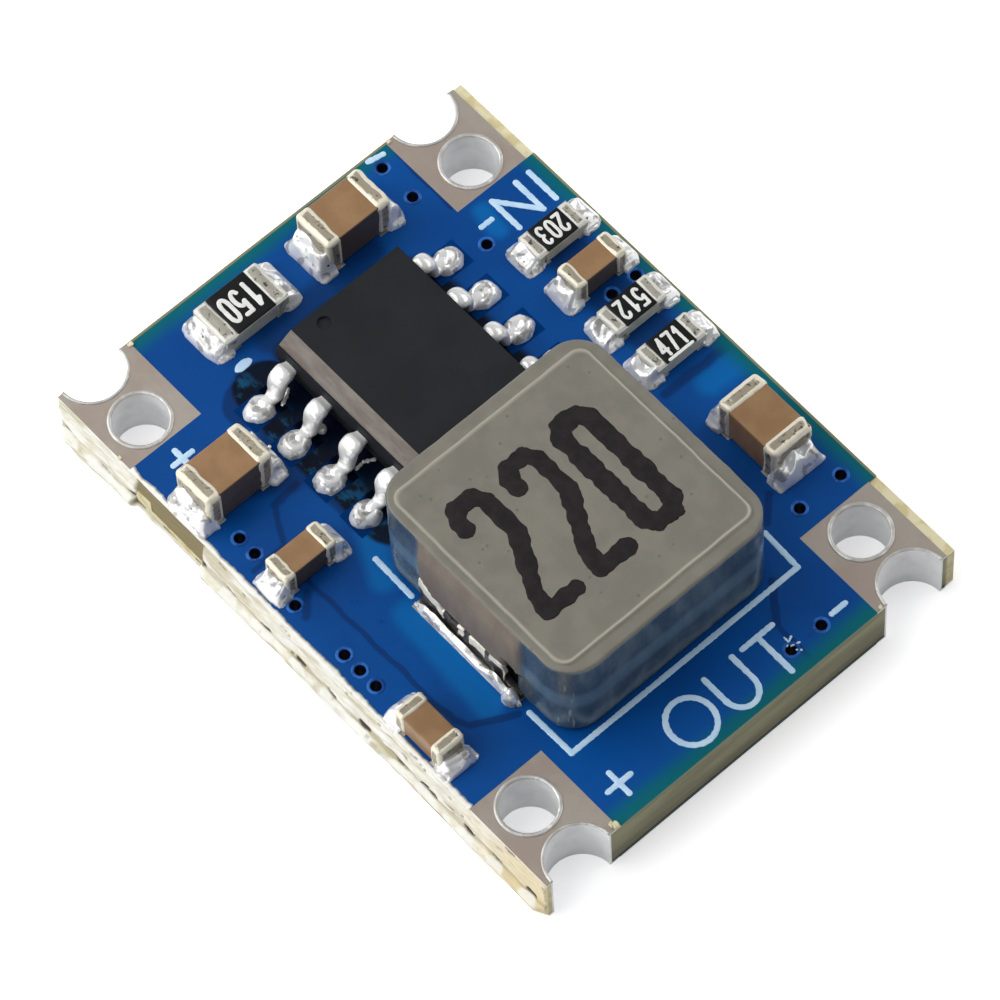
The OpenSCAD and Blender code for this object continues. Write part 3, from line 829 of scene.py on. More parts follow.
@dataclass(frozen=True)
class LaminateFinish(Finish):
    """Sawn glass laminate: olive ends, a cream top, and cream ends on the prongs."""

    name: str = "sawn_laminate"
    sawn: Colour = srgb(156, 153, 122)
    shade_side: Colour = srgb(136, 134, 108)
    pale_layer: Colour = srgb(170, 164, 136)
    cream: Colour = srgb(230, 222, 184)
    straw: Colour = srgb(214, 200, 152)
    line: Colour = srgb(150, 154, 122)
    # Painted shade towards the foot, and a painted shadow line at the foot.
    lower_shade: Colour = srgb(96, 92, 74)
    foot: Colour = srgb(40, 38, 34)
    prong_w: float = 0.3

    def shade(self, tree: Tree, shader: Inputs) -> None:
        """Layers run along the edge; the top line is light, and painted shade darkens the lower part and
        the line at the foot.
        """
        board = Box.of("substrate")
        top, low, rear = board.high[2], board.low[2], board.high[1]
        place = tree.place()
        colour, height = tree.mottle(tree.stretch(place, (0.5, 0.22, 2.0)), 0.7,
                                     (self.sawn, self.shade_side, self.pale_layer), 0.4)
        _, y, z = tree.split(place)
        _, _, nz = tree.normal()
        colour = tree.blend(tree.reach(z, top - 0.09, top - 0.03), 0.8, colour, self.line)
        # Painted shade low on the wall, then a painted shadow line at the foot.
        colour = tree.blend(tree.reach(z, 0.6 * top, low + 0.1), 0.5, colour, self.lower_shade)
        colour = tree.blend(tree.reach(z, low + 0.17, low + 0.09), 0.9, colour, self.foot)
        prong = tree.reach(tree.math("ABSOLUTE", y), rear - self.prong_w, rear - 0.6 * self.prong_w)
        pale = tree.mix(tree.band(tree.noise(place, 0.35, 4), 0.45, 0.62), self.cream, self.straw)
        colour = tree.blend(prong, 0.9, colour, pale)
        tree.fill(shader, {
            "Base Color": tree.mix(tree.band(nz, 0.4, 0.8), colour, pale),
            "Roughness": tree.span(height, 0.6, 0.85),
            "Normal": tree.grain(place, 0.12, 0.03, 0.6),
            "Specular IOR Level": 0.3,
        })


@dataclass(frozen=True)
class FibreFinish(Finish):
    """Snapped glass laminate: torn cream fibres, a white burr and an olive sawn stretch."""

    name: str = "torn_fibre"
    cream: Colour = srgb(234, 228, 208)
    white: Colour = srgb(250, 249, 242)
    straw: Colour = srgb(196, 186, 150)
    tan: Colour = srgb(236, 216, 166)
    thread: Colour = srgb(128, 116, 84)
    crease: Colour = srgb(168, 156, 120)
    olive: Colour = srgb(122, 108, 66)
    moss: Colour = srgb(132, 118, 76)
    dark: Colour = srgb(66, 58, 44)
    crease_z: float = 0.46
    tan_x: tuple[float, float] = (4.8, 8.4)

    def shade(self, tree: Tree, shader: Inputs) -> None:
        """Noise stretched along the edge makes fibres, and masks place the burr and the tears."""
        place = tree.place()
        x, _, z = tree.split(place)
        fibre = tree.noise(tree.stretch(place, (0.28, 1.0, 1.4)), 0.22, 5, 0.7)
        blotch = tree.noise(tree.stretch(place, (0.35, 1.0, 1.5)), 0.6, 3)
        thread = tree.noise(tree.stretch(place, (0.16, 1.0, 2.4)), 0.16, 4, 0.6)
        colour = tree.mix(tree.band(fibre, 0.4, 0.6), self.white, self.cream)
        colour = tree.blend(tree.band(blotch, 0.5, 0.62), 0.7, colour, self.straw)
        colour = tree.blend(tree.reach(x, *self.tan_x), 0.7, colour, self.tan)
        colour = tree.blend(tree.band(thread, 0.62, 0.7), 0.45, colour, self.thread)
        colour = tree.blend(tree.near(z, self.crease_z, 0.1, 0.04), 0.55, colour, self.crease)
        sawn = tree.mix(tree.band(fibre, 0.35, 0.65), self.olive, self.moss)
        for mask, cover in (("sawn", sawn), ("burr", self.white), ("tear", self.dark)):
            colour = tree.mix(tree.mask(mask), colour, cover)
        bump = tree.node("Bump", {"Strength": 0.7, "Distance": 0.03 * MM, "Height": thread})
        tree.fill(shader, {
            "Base Color": colour,
            "Roughness": tree.span(fibre, 0.45, 0.8),
            "Normal": bump.outputs["Normal"],
            "Specular IOR Level": 0.35,
        })


@dataclass(frozen=True)
class PadFinish(Finish):
    """Dull tin on the corner pads; the walls of the holes and notches carry a pale painted reflection of
    the plating.
    """

    name: str = "tinned_pad"
    face: Colour = srgb(172, 163, 152)
    warm: Colour = srgb(164, 150, 139)
    pale: Colour = srgb(190, 182, 170)
    # Pale painted reflection of the plated walls.
    wall: Colour = srgb(250, 250, 250)
    cool_sheen: Colour = srgb(236, 238, 240)
    metallic: float = 0.45

    def shade(self, tree: Tree, shader: Inputs) -> None:
        """Broad stains on the face; a wall is told by its level normal and is painted pale, without metal,
        as a reflection.
        """
        place = tree.place()
        colour, height = tree.mottle(place, 1.1, (self.face, self.warm, self.pale), 0.3)
        _, _, nz = tree.normal()
        # Walls get the painted reflection in place of metal.
        wall = tree.band(tree.math("ABSOLUTE", nz), 0.6, 0.2)
        wall_sheen = tree.mix(tree.band(tree.noise(place, 0.5, 3), 0.4, 0.7), self.wall, self.cool_sheen)
        tree.fill(shader, {
            "Base Color": tree.mix(wall, colour, wall_sheen),
            "Roughness": tree.span(height, 0.36, 0.52, NOISE_RANGE),
            "Normal": tree.grain(place, 0.16, 0.014, 0.5),
            "Metallic": tree.times(tree.rest(wall), self.metallic),
        })


@dataclass(frozen=True)
class LandFinish(Finish):
    """Tinned lands, darkened by flux and painted shadow beside the controller's leads."""

    name: str = "land_tin"
    tin: Colour = srgb(206, 202, 194)
    dull: Colour = srgb(168, 164, 156)
    pit: Colour = srgb(120, 116, 108)
    flux_and_shadow: Colour = srgb(4, 11, 24)
    front: Colour = srgb(6, 50, 106)
    rear: Colour = srgb(5, 56, 118)

    def shade(self, tree: Tree, shader: Inputs) -> None:
        """A land within the leads' rows takes the colour of the mask beside it, with flux and painted
        shadow near the moulding.
        """
        rows = Box.of("controller_solder")
        place = tree.place()
        x, y, _ = tree.split(place)
        colour, _ = tree.mottle(place, 0.4, (self.tin, self.dull, self.pit), 0.4)
        stained_and_shaded = tree.times(tree.within(x, rows.low[0], rows.high[0], 0.2, 0.1),
                             tree.within(y, rows.low[1], rows.high[1], 0.06, 0.05))
        # Near the moulding the lands take the colour of flux with painted shadow.
        front = tree.mix(tree.reach(y, -3.0, -2.7), self.front, self.flux_and_shadow)
        cover = tree.mix(tree.reach(y, -1.0, 1.0), front, self.rear)
        clean = tree.rest(stained_and_shaded)
        tree.fill(shader, {
            "Base Color": tree.mix(stained_and_shaded, colour, cover),
            "Roughness": 0.4,
            "Normal": tree.grain(place, 0.14, 0.01, 0.5),
            "Metallic": tree.times(clean, 0.8),
            "Specular IOR Level": tree.times(clean, 0.5),
        })


@dataclass(frozen=True)
class MouldingFinish(Finish):
    """Charcoal moulding compound with a pale painted sheen on the bevel and softened edges."""

    name: str = "controller_moulding"
    face: Colour = srgb(25, 28, 32)
    deep: Colour = srgb(20, 23, 27)
    dust: Colour = srgb(30, 33, 37)
    # Pale painted sheen on the front bevel, and the darker grey of its streaks.
    bevel_sheen: Colour = srgb(138, 131, 124)
    worn: Colour = srgb(118, 108, 101)
    edge_r: float = 0.05

    def shade(self, tree: Tree, shader: Inputs) -> None:
        """The bevel is told by its normal, half way between up and the front, and gets a streaked pale
        painted sheen.
        """
        place = tree.place()
        colour, height = tree.mottle(place, 1.4, (self.face, self.deep, self.dust), 0.3)
        _, ny, nz = tree.normal()
        slope = tree.times(tree.band(ny, -0.45, -0.6), tree.band(nz, 0.45, 0.6))
        streak = tree.noise(tree.stretch(place, (0.3, 1.0, 1.0)), 0.3, 3)
        # The bevel's painted sheen, in streaks.
        pale = tree.mix(tree.band(streak, 0.35, 0.65), self.bevel_sheen, self.worn)
        soft = tree.node("Bevel", {"Radius": self.edge_r * MM}, samples=4)
        bump = tree.node("Bump", {"Strength": 0.4, "Distance": 0.012 * MM,
                                  "Height": tree.noise(place, 0.05, 3), "Normal": soft.outputs["Normal"]})
        tree.fill(shader, {
            "Base Color": tree.mix(slope, colour, pale),
            "Roughness": tree.span(height, 0.5, 0.7),
            "Normal": bump.outputs["Normal"],
            "Specular IOR Level": 0.25,
        })


@dataclass(frozen=True)
class CoreFinish(Finish):
    """Pressed iron powder: taupe top, glossy slate sides with painted shade and reflections, and painted
    shade in the gaps over the terminals.
    """

    name: str = "iron_powder"
    top: Colour = srgb(126, 122, 110)
    patch: Colour = srgb(118, 114, 103)
    pit: Colour = srgb(92, 88, 78)
    # Painted highlight on the edge of the raised top.
    ridge: Colour = srgb(164, 159, 144)
    # Slate sides are painted shade with a reflection of the blue deck; the lighter smear streaks and the
    # band are painted reflections, and the shine is a painted highlight.
    side: Colour = srgb(62, 76, 88)
    smear: Colour = srgb(84, 98, 108)
    reflection_band: Colour = srgb(108, 134, 154)
    shine: Colour = srgb(160, 168, 164)
    # The bosses are painted in the colours of the lit side, brownish against the shaded slate.
    boss: Colour = srgb(124, 114, 100)
    lit_boss_patch: Colour = srgb(112, 101, 89)
    # Near-black painted shade in the recesses under the bosses and in the pocket.
    gap: Colour = srgb(16, 14, 14)
    reflection_band_z: float = 3.1

    def shade(self, tree: Tree, shader: Inputs) -> None:
        """Sides are told by their level normal and carry painted shade, reflections and a highlight; masks
        place the ridge's painted highlight, the bosses' painted light and the gaps' painted shade.
        """
        place = tree.place()
        x, y, z = tree.split(place)
        boss, gap = tree.mask("boss"), tree.mask("gap")
        face, _ = tree.mottle(place, 0.7, (self.top, self.patch, self.patch), 0.2)
        face = tree.blend(tree.specks(place, 0.22, 0.05, 0.12), 0.6, face, self.pit)
        face = tree.mix(tree.mask("ridge"), face, self.ridge)
        _, _, nz = tree.normal()
        level = tree.band(nz, 0.72, 0.4)
        # Streaks of painted reflection on the glossy sides.
        smear = tree.noise(tree.stretch(place, (1.0, 1.0, 0.35)), 0.5, 4)
        wall = tree.mix(tree.band(smear, 0.4, 0.7), self.side, self.smear)
        wall = tree.blend(tree.near(z, self.reflection_band_z, 0.45, 0.15), 0.45, wall, self.reflection_band)
        # Painted highlight at the front output corner.
        corner = tree.times(tree.reach(x, 5.6, 5.9), tree.reach(y, -2.9, -3.2))
        shine = tree.band(tree.noise(tree.stretch(place, (1.0, 1.0, 0.2)), 0.2, 3), 0.58, 0.66)
        wall = tree.blend(tree.times(corner, shine), 0.5, wall, self.shine)
        # Bosses in the painted light of the lit side, and recesses in near-black painted shade.
        lit_boss = tree.mix(tree.band(smear, 0.35, 0.65), self.boss, self.lit_boss_patch)
        wall = tree.mix(gap, tree.mix(boss, wall, lit_boss), self.gap)
        polished = tree.times(level, tree.rest(tree.math("MAXIMUM", boss, gap)))
        tree.fill(shader, {
            "Base Color": tree.mix(level, face, wall),
            "Roughness": tree.span(polished, 0.55, 0.22),
            "Normal": tree.grain(place, 0.09, 0.012, 0.45),
            "Specular IOR Level": tree.times(tree.rest(gap), 0.5),
        })


@dataclass(frozen=True)
class SolderFinish(Finish):
    """Bright tin alloy, with grey facets of painted dark reflection and dark specks."""

    name: str = "solder"
    bright: Colour = srgb(253, 253, 252)
    dull: Colour = srgb(196, 190, 180)
    # Grey of the painted dark reflections on facets.
    dark_reflection: Colour = srgb(132, 128, 122)
    stain: Colour = srgb(84, 78, 70)
    metallic: float = 0.38

    def shade(self, tree: Tree, shader: Inputs) -> None:
        """Grey facets of painted dark reflection lie over bright and dull patches, with a few specks
        between them.
        """
        place = tree.place()
        colour, height = tree.mottle(place, 0.8, (self.bright, self.bright, self.dull), 0.3)
        colour = tree.mix(tree.specks(place, 0.2, 0.045, 0.03), colour, self.stain)
        # Facets of painted dark reflection.
        dark_reflection = tree.band(tree.noise(place, 0.34, 2), 0.55, 0.61)
        tree.fill(shader, {
            "Base Color": tree.blend(dark_reflection, 0.6, colour, self.dark_reflection),
            "Roughness": tree.span(height, 0.1, 0.24, NOISE_RANGE),
            "Normal": tree.grain(place, 0.4, 0.02, 0.25),
            "Metallic": self.metallic,
        })


@dataclass(frozen=True)
class TerminalFinish(Finish):
    """Baked and plated end of a chip: pale rounded rims round a worn middle."""

    name: str
    rim: Colour
    worn: Colour
    pit: Colour
    spread: float = 0.2

    def shade(self, tree: Tree, shader: Inputs) -> None:
        """The rim mask and a noise choose between the pale and the worn colour."""
        place = tree.place()
        edge = tree.mask("rim")
        cloud = tree.noise(place, self.spread, 5, 0.65)
        uneven = tree.times(tree.math("SUBTRACT", cloud, 0.5), 1.2)
        share = tree.band(tree.math("ADD", edge, uneven), 0.08, 0.4)
        pits = tree.times(tree.band(tree.noise(place, 0.13, 4, 0.7), 0.56, 0.62), tree.rest(edge))
        tree.fill(shader, {
            "Base Color": tree.mix(pits, tree.mix(share, self.worn, self.rim), self.pit),
            "Roughness": tree.span(cloud, 0.25, 0.55),
            "Normal": tree.grain(place, 0.12, 0.02, 0.6),
            "Metallic": 0.2,
        })


LAMINATE = LaminateFinish()
FIBRE = FibreFinish()
PAD_TIN = PadFinish()
LAND_TIN = LandFinish()
MOULDING = MouldingFinish()
CORE = CoreFinish()
VIA_WALL = Mottled("coated_barrel", srgb(10, 26, 66), srgb(6, 16, 44), srgb(18, 46, 104),
                   patch=0.3, share=0.3, smooth=0.4, rough=0.6)
VIA_RIM = Mottled("via_rim", srgb(44, 112, 196), srgb(8, 62, 136), srgb(84, 142, 206),
                  patch=0.3, share=0.4, smooth=0.3, rough=0.5, specular=0.2)
LEGEND = Mottled("legend_ink", srgb(202, 231, 252), srgb(188, 221, 248), srgb(218, 240, 253),
                 patch=0.4, share=0.4, smooth=0.4, rough=0.6, grain=0.06)
CODE = Mottled("code_ink", srgb(242, 242, 238), srgb(230, 230, 226), srgb(248, 248, 246),
               patch=0.3, share=0.3, smooth=0.4, rough=0.6)
CORE_INK = Mottled("core_ink", srgb(40, 35, 37), srgb(33, 29, 31), srgb(56, 49, 48),
                   patch=0.25, share=0.4, smooth=0.5, rough=0.7, grain=0.06, depth=0.02, specular=0.15)
# The ceramic's end colour paints shade on its faces towards +X.
CERAMIC = Mottled("capacitor_ceramic", srgb(156, 122, 86), srgb(146, 112, 77), srgb(168, 134, 98),
                  patch=0.6, share=0.3, smooth=0.3, rough=0.5, grain=0.06, depth=0.01, specular=0.3,
                  end=srgb(86, 76, 68))
OVERCOAT = Mottled("overcoat", srgb(18, 19, 21), srgb(14, 15, 16), srgb(28, 29, 31),
                   patch=0.5, share=0.3, smooth=0.28, rough=0.45, grain=0.06, depth=0.01, specular=0.2)
ALUMINA = Mottled("alumina", srgb(206, 208, 196), srgb(188, 192, 178), srgb(222, 222, 212),
                  patch=0.4, share=0.3, smooth=0.35, rough=0.55)
LEAD_PLATE = Mottled("lead_plating", srgb(254, 254, 252), srgb(246, 245, 242), srgb(190, 184, 174),
                     patch=0.45, share=0.1, metallic=0.32, smooth=0.12, rough=0.24, grain=0.3, depth=0.01,
                     strength=0.3)
LIP = Mottled("worn_lip", srgb(216, 216, 212), srgb(190, 186, 180), srgb(150, 144, 138),
              patch=0.4, share=0.3, metallic=0.6, smooth=0.25, rough=0.45, grain=0.15, depth=0.02)
BURR = Mottled("pale_burr", srgb(232, 224, 196), srgb(214, 202, 164), srgb(245, 242, 228),
               patch=0.2, share=0.4, smooth=0.3, rough=0.5, grain=0.06)
CAP_END = TerminalFinish("capacitor_termination",
                         srgb(240, 233, 212), srgb(160, 150, 130), srgb(72, 66, 56))
# The clips' worn colour is near black: worn tin, and painted shade along the solder seam.
CLIP_TIN = TerminalFinish("clip_tin", srgb(250, 245, 226), srgb(50, 46, 44), srgb(16, 15, 14), spread=0.3)
RES_END = TerminalFinish("resistor_termination",
                         srgb(226, 224, 214), srgb(168, 164, 152), srgb(70, 68, 62))
MASK = MaskFinish()
SOLDER = SolderFinish()


def dress(node: str, finish: Finish) -> None:
    """Gives a CAD node's object a new material."""
    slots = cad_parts[node].material_slots
    for place in slots:
        place.material = finish.material()
    if not slots:
        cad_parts[node].data.materials.append(finish.material())
    LOG.info("%s: %s", node, finish.name)


# ---------- Strokes ----------

Strokes = dict[str, list[Array]]


def arc(centre: tuple[float, float], radii: tuple[float, float], start: float, end: float) -> Array:
    """Points along an ellipse, between two angles in degrees."""
    return np.array(centre) + np.array(radii) * circle(np.radians(np.linspace(start, end, 24)))


def chain(*points: tuple[float, float]) -> list[Array]:
    """Straight strokes from each point to the next."""
    return [np.array(pair, dtype=float) for pair in zip(points, points[1:])]


# Strokes of each sign, in a box one unit wide and one high.
GLYPHS: Strokes = {
    "I": chain((0.5, 0), (0.5, 1)),
    "N": chain((0, 0), (0, 1), (1, 0), (1, 1)),
    "O": [arc((0.5, 0.5), (0.5, 0.5), 0, 360)],
    "U": [*chain((0, 1), (0, 0.4)), arc((0.5, 0.4), (0.5, 0.4), 180, 360), *chain((1, 0.4), (1, 1))],
    "T": [*chain((0, 1), (1, 1)), *chain((0.5, 1), (0.5, 0))],
    "+": [*chain((0, 0.5), (1, 0.5)), *chain((0.5, 0), (0.5, 1))],
    "-": chain((0, 0.5), (1, 0.5)),
    "0": [arc((0.5, 0.7), (0.5, 0.3), 0, 180), *chain((0, 0.7), (0, 0.3)),
          arc((0.5, 0.3), (0.5, 0.3), 180, 360), *chain((1, 0.3), (1, 0.7))],
    "1": chain((0.1, 0.75), (0.5, 1), (0.5, 0)),
    "2": [arc((0.5, 0.73), (0.5, 0.27), 170, -20), *chain((0.97, 0.64), (0, 0), (1, 0))],
    "3": [arc((0.5, 0.75), (0.45, 0.25), 150, -90), arc((0.5, 0.25), (0.5, 0.25), 90, -150)],
    "4": chain((0.75, 0), (0.75, 1), (0, 0.3), (1, 0.3)),
    "5": [*chain((0.95, 1), (0.08, 1), (0, 0.52)), arc((0.48, 0.33), (0.5, 0.33), 140, -140)],
    "7": chain((0, 1), (1, 1), (0.35, 0)),
}
# How far the cut corners of the broad numbers reach across and down.
CUT_X, CUT_Y = 0.22, 0.08
BLOCK_GLYPHS: Strokes = {
    "0": chain((0, CUT_Y), (0, 1 - CUT_Y), (CUT_X, 1), (1 - CUT_X, 1), (1, 1 - CUT_Y), (1, CUT_Y),
               (1 - CUT_X, 0), (CUT_X, 0), (0, CUT_Y)),
    "2": chain((0, 0.84), (0, 1 - CUT_Y), (CUT_X, 1), (1 - CUT_X, 1), (1, 1 - CUT_Y), (1, 0.6),
               (0.1, 0.16), (0, 0), (1, 0)),
}


@dataclass(frozen=True)
class Pen:
    """Draws strokes of ink or solder that lie on a level face."""

    level: float
    stroke: float
    ragged: float = 0.0
    raised: float = 0.012

    def write(self, mesh: Mesh, text: str, origin: tuple[float, float], way: int,
              size: tuple[float, float], pitch: float = 0.0, shapes: Strokes = GLYPHS) -> None:
        """Adds the strokes of every sign.

        Args:
            mesh: Where the strokes go.
            text: Signs that the shapes hold.
            origin: Lower left corner of the first sign, as X and Y.
            way: 1 when the text reads towards +Y with its top towards -X, -1 for the reverse.
            size: Width and height of a sign.
            pitch: Distance from sign to sign.
            shapes: The strokes of each sign.
        """
        right, up = np.array([0, way]), np.array([-way, 0])
        for place, sign in enumerate(text):
            for stroke in shapes[sign]:
                x = stroke[:, :1] * size[0] + place * pitch
                y = stroke[:, 1:] * size[1]
                self.draw(mesh, np.array(origin) + x * right + y * up, seed=place)

    def draw(self, mesh: Mesh, flat: Array, seed: int = 0) -> None:
        """Adds one stroke with round ends.

        The line is walked in even steps, and an oval of ink is carried along
        it, which narrows over the last half width at each end.

        Args:
            mesh: Where the stroke goes.
            flat: Its middle line, as rows of X and Y.
            seed: Seed of its raggedness.
        """
        half = self.stroke / 2
        steps = np.r_[0, np.cumsum(np.linalg.norm(np.diff(flat, axis=0), axis=1))]
        length = steps[-1]
        walk = np.linspace(-half, length + half, max(12, int(length / self.stroke * 10)))
        walk = np.r_[walk[0], walk[0] + 0.15 * half, walk[1:-1], walk[-1] - 0.15 * half, walk[-1]]
        inside = np.clip(walk, 0, length)
        line = np.stack([np.interp(inside, steps, flat[:, k]) for k in (0, 1)], axis=-1)
        ahead = np.gradient(line, axis=0)
        ahead[walk <= 0.02 * half] = flat[1] - flat[0]
        ahead[walk >= length - 0.02 * half] = flat[-1] - flat[-2]
        ahead /= np.linalg.norm(ahead, axis=1, keepdims=True)
        line += (walk - inside)[:, None] * ahead
        over = np.clip((np.abs(walk - length / 2) - length / 2) / half, 0, 1)
        narrow = np.sqrt(np.clip(1 - over**2, 0, 1))
        points = np.c_[line, np.full(len(line), self.level)]
        wander = 1 + self.ragged * waves(points / self.stroke, 0.9, seed + 7, 2)
        across = np.c_[-ahead[:, 1], ahead[:, 0], np.zeros(len(line))]
        section = oval(half * narrow * wander, self.raised * narrow, power=3, count=12)
        mesh.add(*sweep(points, across, Z_AXIS, section))


# ---------- Board ----------


@dataclass
class SnappedEdge:
    """Torn fibres down the front edge, from a burr on the deck to the underside.

    A closed section of outward distance and height is carried along the edge.
    Its first rows lie on the deck, the next ones run down the wall, and the
    last ones close it inside the board.
    """

    board: Box
    pad_x: float = 6.0
    sawn: tuple[float, float] = (-5.7, -3.28)
    sawn_lean: float = 0.3
    ledge_z: float = 0.14
    ledge_w: float = 0.15
    ledge_stop: float = 1.15
    tear_pitch: float = 1.17
    tear_l: float = 0.44
    tear_z: float = 0.5
    end_gap: float = 0.012
    stations: int = 1100
    deck_rows: int = 5
    wall_rows: int = 44

    def __post_init__(self) -> None:
        """Lays out the stations along the edge and the rows of the section."""
        self.deck = self.board.high[2]
        self.x = np.linspace(self.board.low[0] + self.end_gap, self.board.high[0] - self.end_gap,
                             self.stations)[:, None]
        wall_z = np.linspace(self.deck - 0.05, 0.08, self.wall_rows)
        out = np.r_[-0.11, -0.08, -0.045, -0.01, 0.025, np.full(self.wall_rows, 0.045),
                    0.03, -0.03, -0.1, -0.12]
        rise = np.r_[0.003, 0.014, 0.022, 0.018, 0.004, wall_z - self.deck, 0.03 - self.deck,
                     [0.004 - self.deck] * 2, -0.2]
        self.z = self.deck + rise[None] + 0 * self.x
        self.out = out[None] + 0 * self.x
        row = np.arange(len(out))[None]
        self.on_deck = (row < self.deck_rows) * 1.0
        self.on_wall = 1 - self.on_deck - (row > self.deck_rows + self.wall_rows - 1)
        self.on_ledge = row < self.deck_rows + self.wall_rows + 2
        self.innermost = row < 2
        self.pad = smooth_step(self.pad_x - 0.02, self.pad_x + 0.05, np.abs(self.x))

    def grid(self) -> Array:
        """Places on the wall, with the height stretched so that waves lie along the edge."""
        return np.stack([self.x + 0 * self.z, self.z * 5.0], axis=-1)

    def burr(self, wander: Array) -> None:
        """Makes the rows on the deck uneven, and sinks them under the corner pads."""
        free = 1 - self.pad
        self.out += self.on_deck * (self.out < -0.02) * 0.025 * wander * free
        lift = waves(np.c_[self.x, self.x * 0.3], 0.5, 42, 3)[:, None]
        self.z += self.on_deck * 0.007 * lift * free
        self.out += self.on_deck * self.pad * (np.maximum(-0.03, self.out) * 0.3 - self.out)
        self.z -= self.on_deck * self.pad * (self.z - self.deck + 0.045)

    def sawn_share(self) -> Array:
        """1 on the stretch that the saw left smooth, whose ends lean."""
        across = self.x + self.sawn_lean * (1 - self.z / self.deck)
        return (smooth_step(self.sawn[0] - 0.06, self.sawn[0] + 0.06, across)
                * smooth_step(self.sawn[1] + 0.06, self.sawn[1] - 0.06, across)
                * smooth_step(self.ledge_z - 0.03, self.ledge_z + 0.05, self.z))

    def tears(self, wander: Array, torn: Array) -> tuple[Array, Array, Array]:
        """Marks that repeat along the torn wall.

        Args:
            wander: Unevenness along the edge.
            torn: 1 where the wall is torn.

        Returns:
            Masks of the dark tears, of the pale patches under them and of the slits.
        """
        pitch_at = self.x / self.tear_pitch + 0.12 * ripple(self.x, 3.0, 47)[:, None]
        offset = pitch_at - np.round(pitch_at)
        beside = np.abs(offset) * self.tear_pitch
        drift = self.z - self.tear_z - 0.02 * wander + 0.08 * offset
        tear = smooth_step(1.2, 0.7, (2 * beside / self.tear_l) ** 2 + (drift / 0.09) ** 2) * torn
        lens = smooth_step(1.2, 0.7, (beside / 0.36) ** 2 + ((drift + 0.2) / 0.12) ** 2) * torn
        slit = smooth_step(1.0, 1.15, waves(self.grid(), 1.1, 45, 3)) * torn
        return tear, lens, slit * smooth_step(0.2, 0.5, self.z)

    def ledge(self) -> Array:
        """How far the wall's foot stands out, but for the ends and under the sawn stretch."""
        near_end = smooth_step(0, 0.4, self.x - self.x[0]) * smooth_step(0, 0.4, self.x[-1] - self.x)
        low = self.on_ledge * smooth_step(0.4, 0.3, self.z)
        aside = np.abs(self.x - sum(self.sawn) / 2 + 0.2) - self.ledge_stop
        low = low * (1 - smooth_step(0.15, 0, aside))
        return self.ledge_w * (1 + 0.15 * ripple(self.x, 5.0, 46)[:, None]) * near_end * low

    def build(self) -> None:
        """Shapes the section, narrows it at both ends and carries it along the edge."""
        wander = waves(np.c_[self.x, 0 * self.x], 0.9, 41, 4)[:, None]
        self.burr(wander)
        fibre = 0.03 * waves(self.grid(), 2.4, 43, 3) + 0.012 * waves(self.grid(), 0.9, 44, 2)
        sawn = self.sawn_share()
        slope = -0.05 * (self.deck - self.z) / (self.deck - self.ledge_z) - 0.02
        out = self.out + self.on_wall * ((1 - sawn) * fibre + sawn * (slope + 0.15 * fibre))
        tear, lens, slit = self.tears(wander, self.on_wall * (1 - sawn))
        out += self.ledge() - 0.04 * tear - 0.03 * slit
        tip = smooth_step(0, 0.05, self.x - self.x[0]) * smooth_step(0, 0.05, self.x[-1] - self.x)
        out = np.where(out > -0.1, out * tip - 0.02 * (1 - tip), out)
        path = self.x * X_AXIS + [0, self.board.low[1], 0]
        surface = sweep(path, -Y_AXIS, Z_AXIS, np.stack([out, self.z], axis=-1))
        masks = {
            "sawn": sawn * self.on_wall,
            "tear": np.clip(tear + 0.7 * slit + 0.6 * self.innermost, 0, 1),
            "burr": self.on_deck * (1 - self.pad) + 0.8 * lens,
        }
        make_piece("snapped_edge", FIBRE, "laminate", surface,
                   **{name: np.pad(mask, ((1, 1), (0, 0))).reshape(-1) for name, mask in masks.items()})


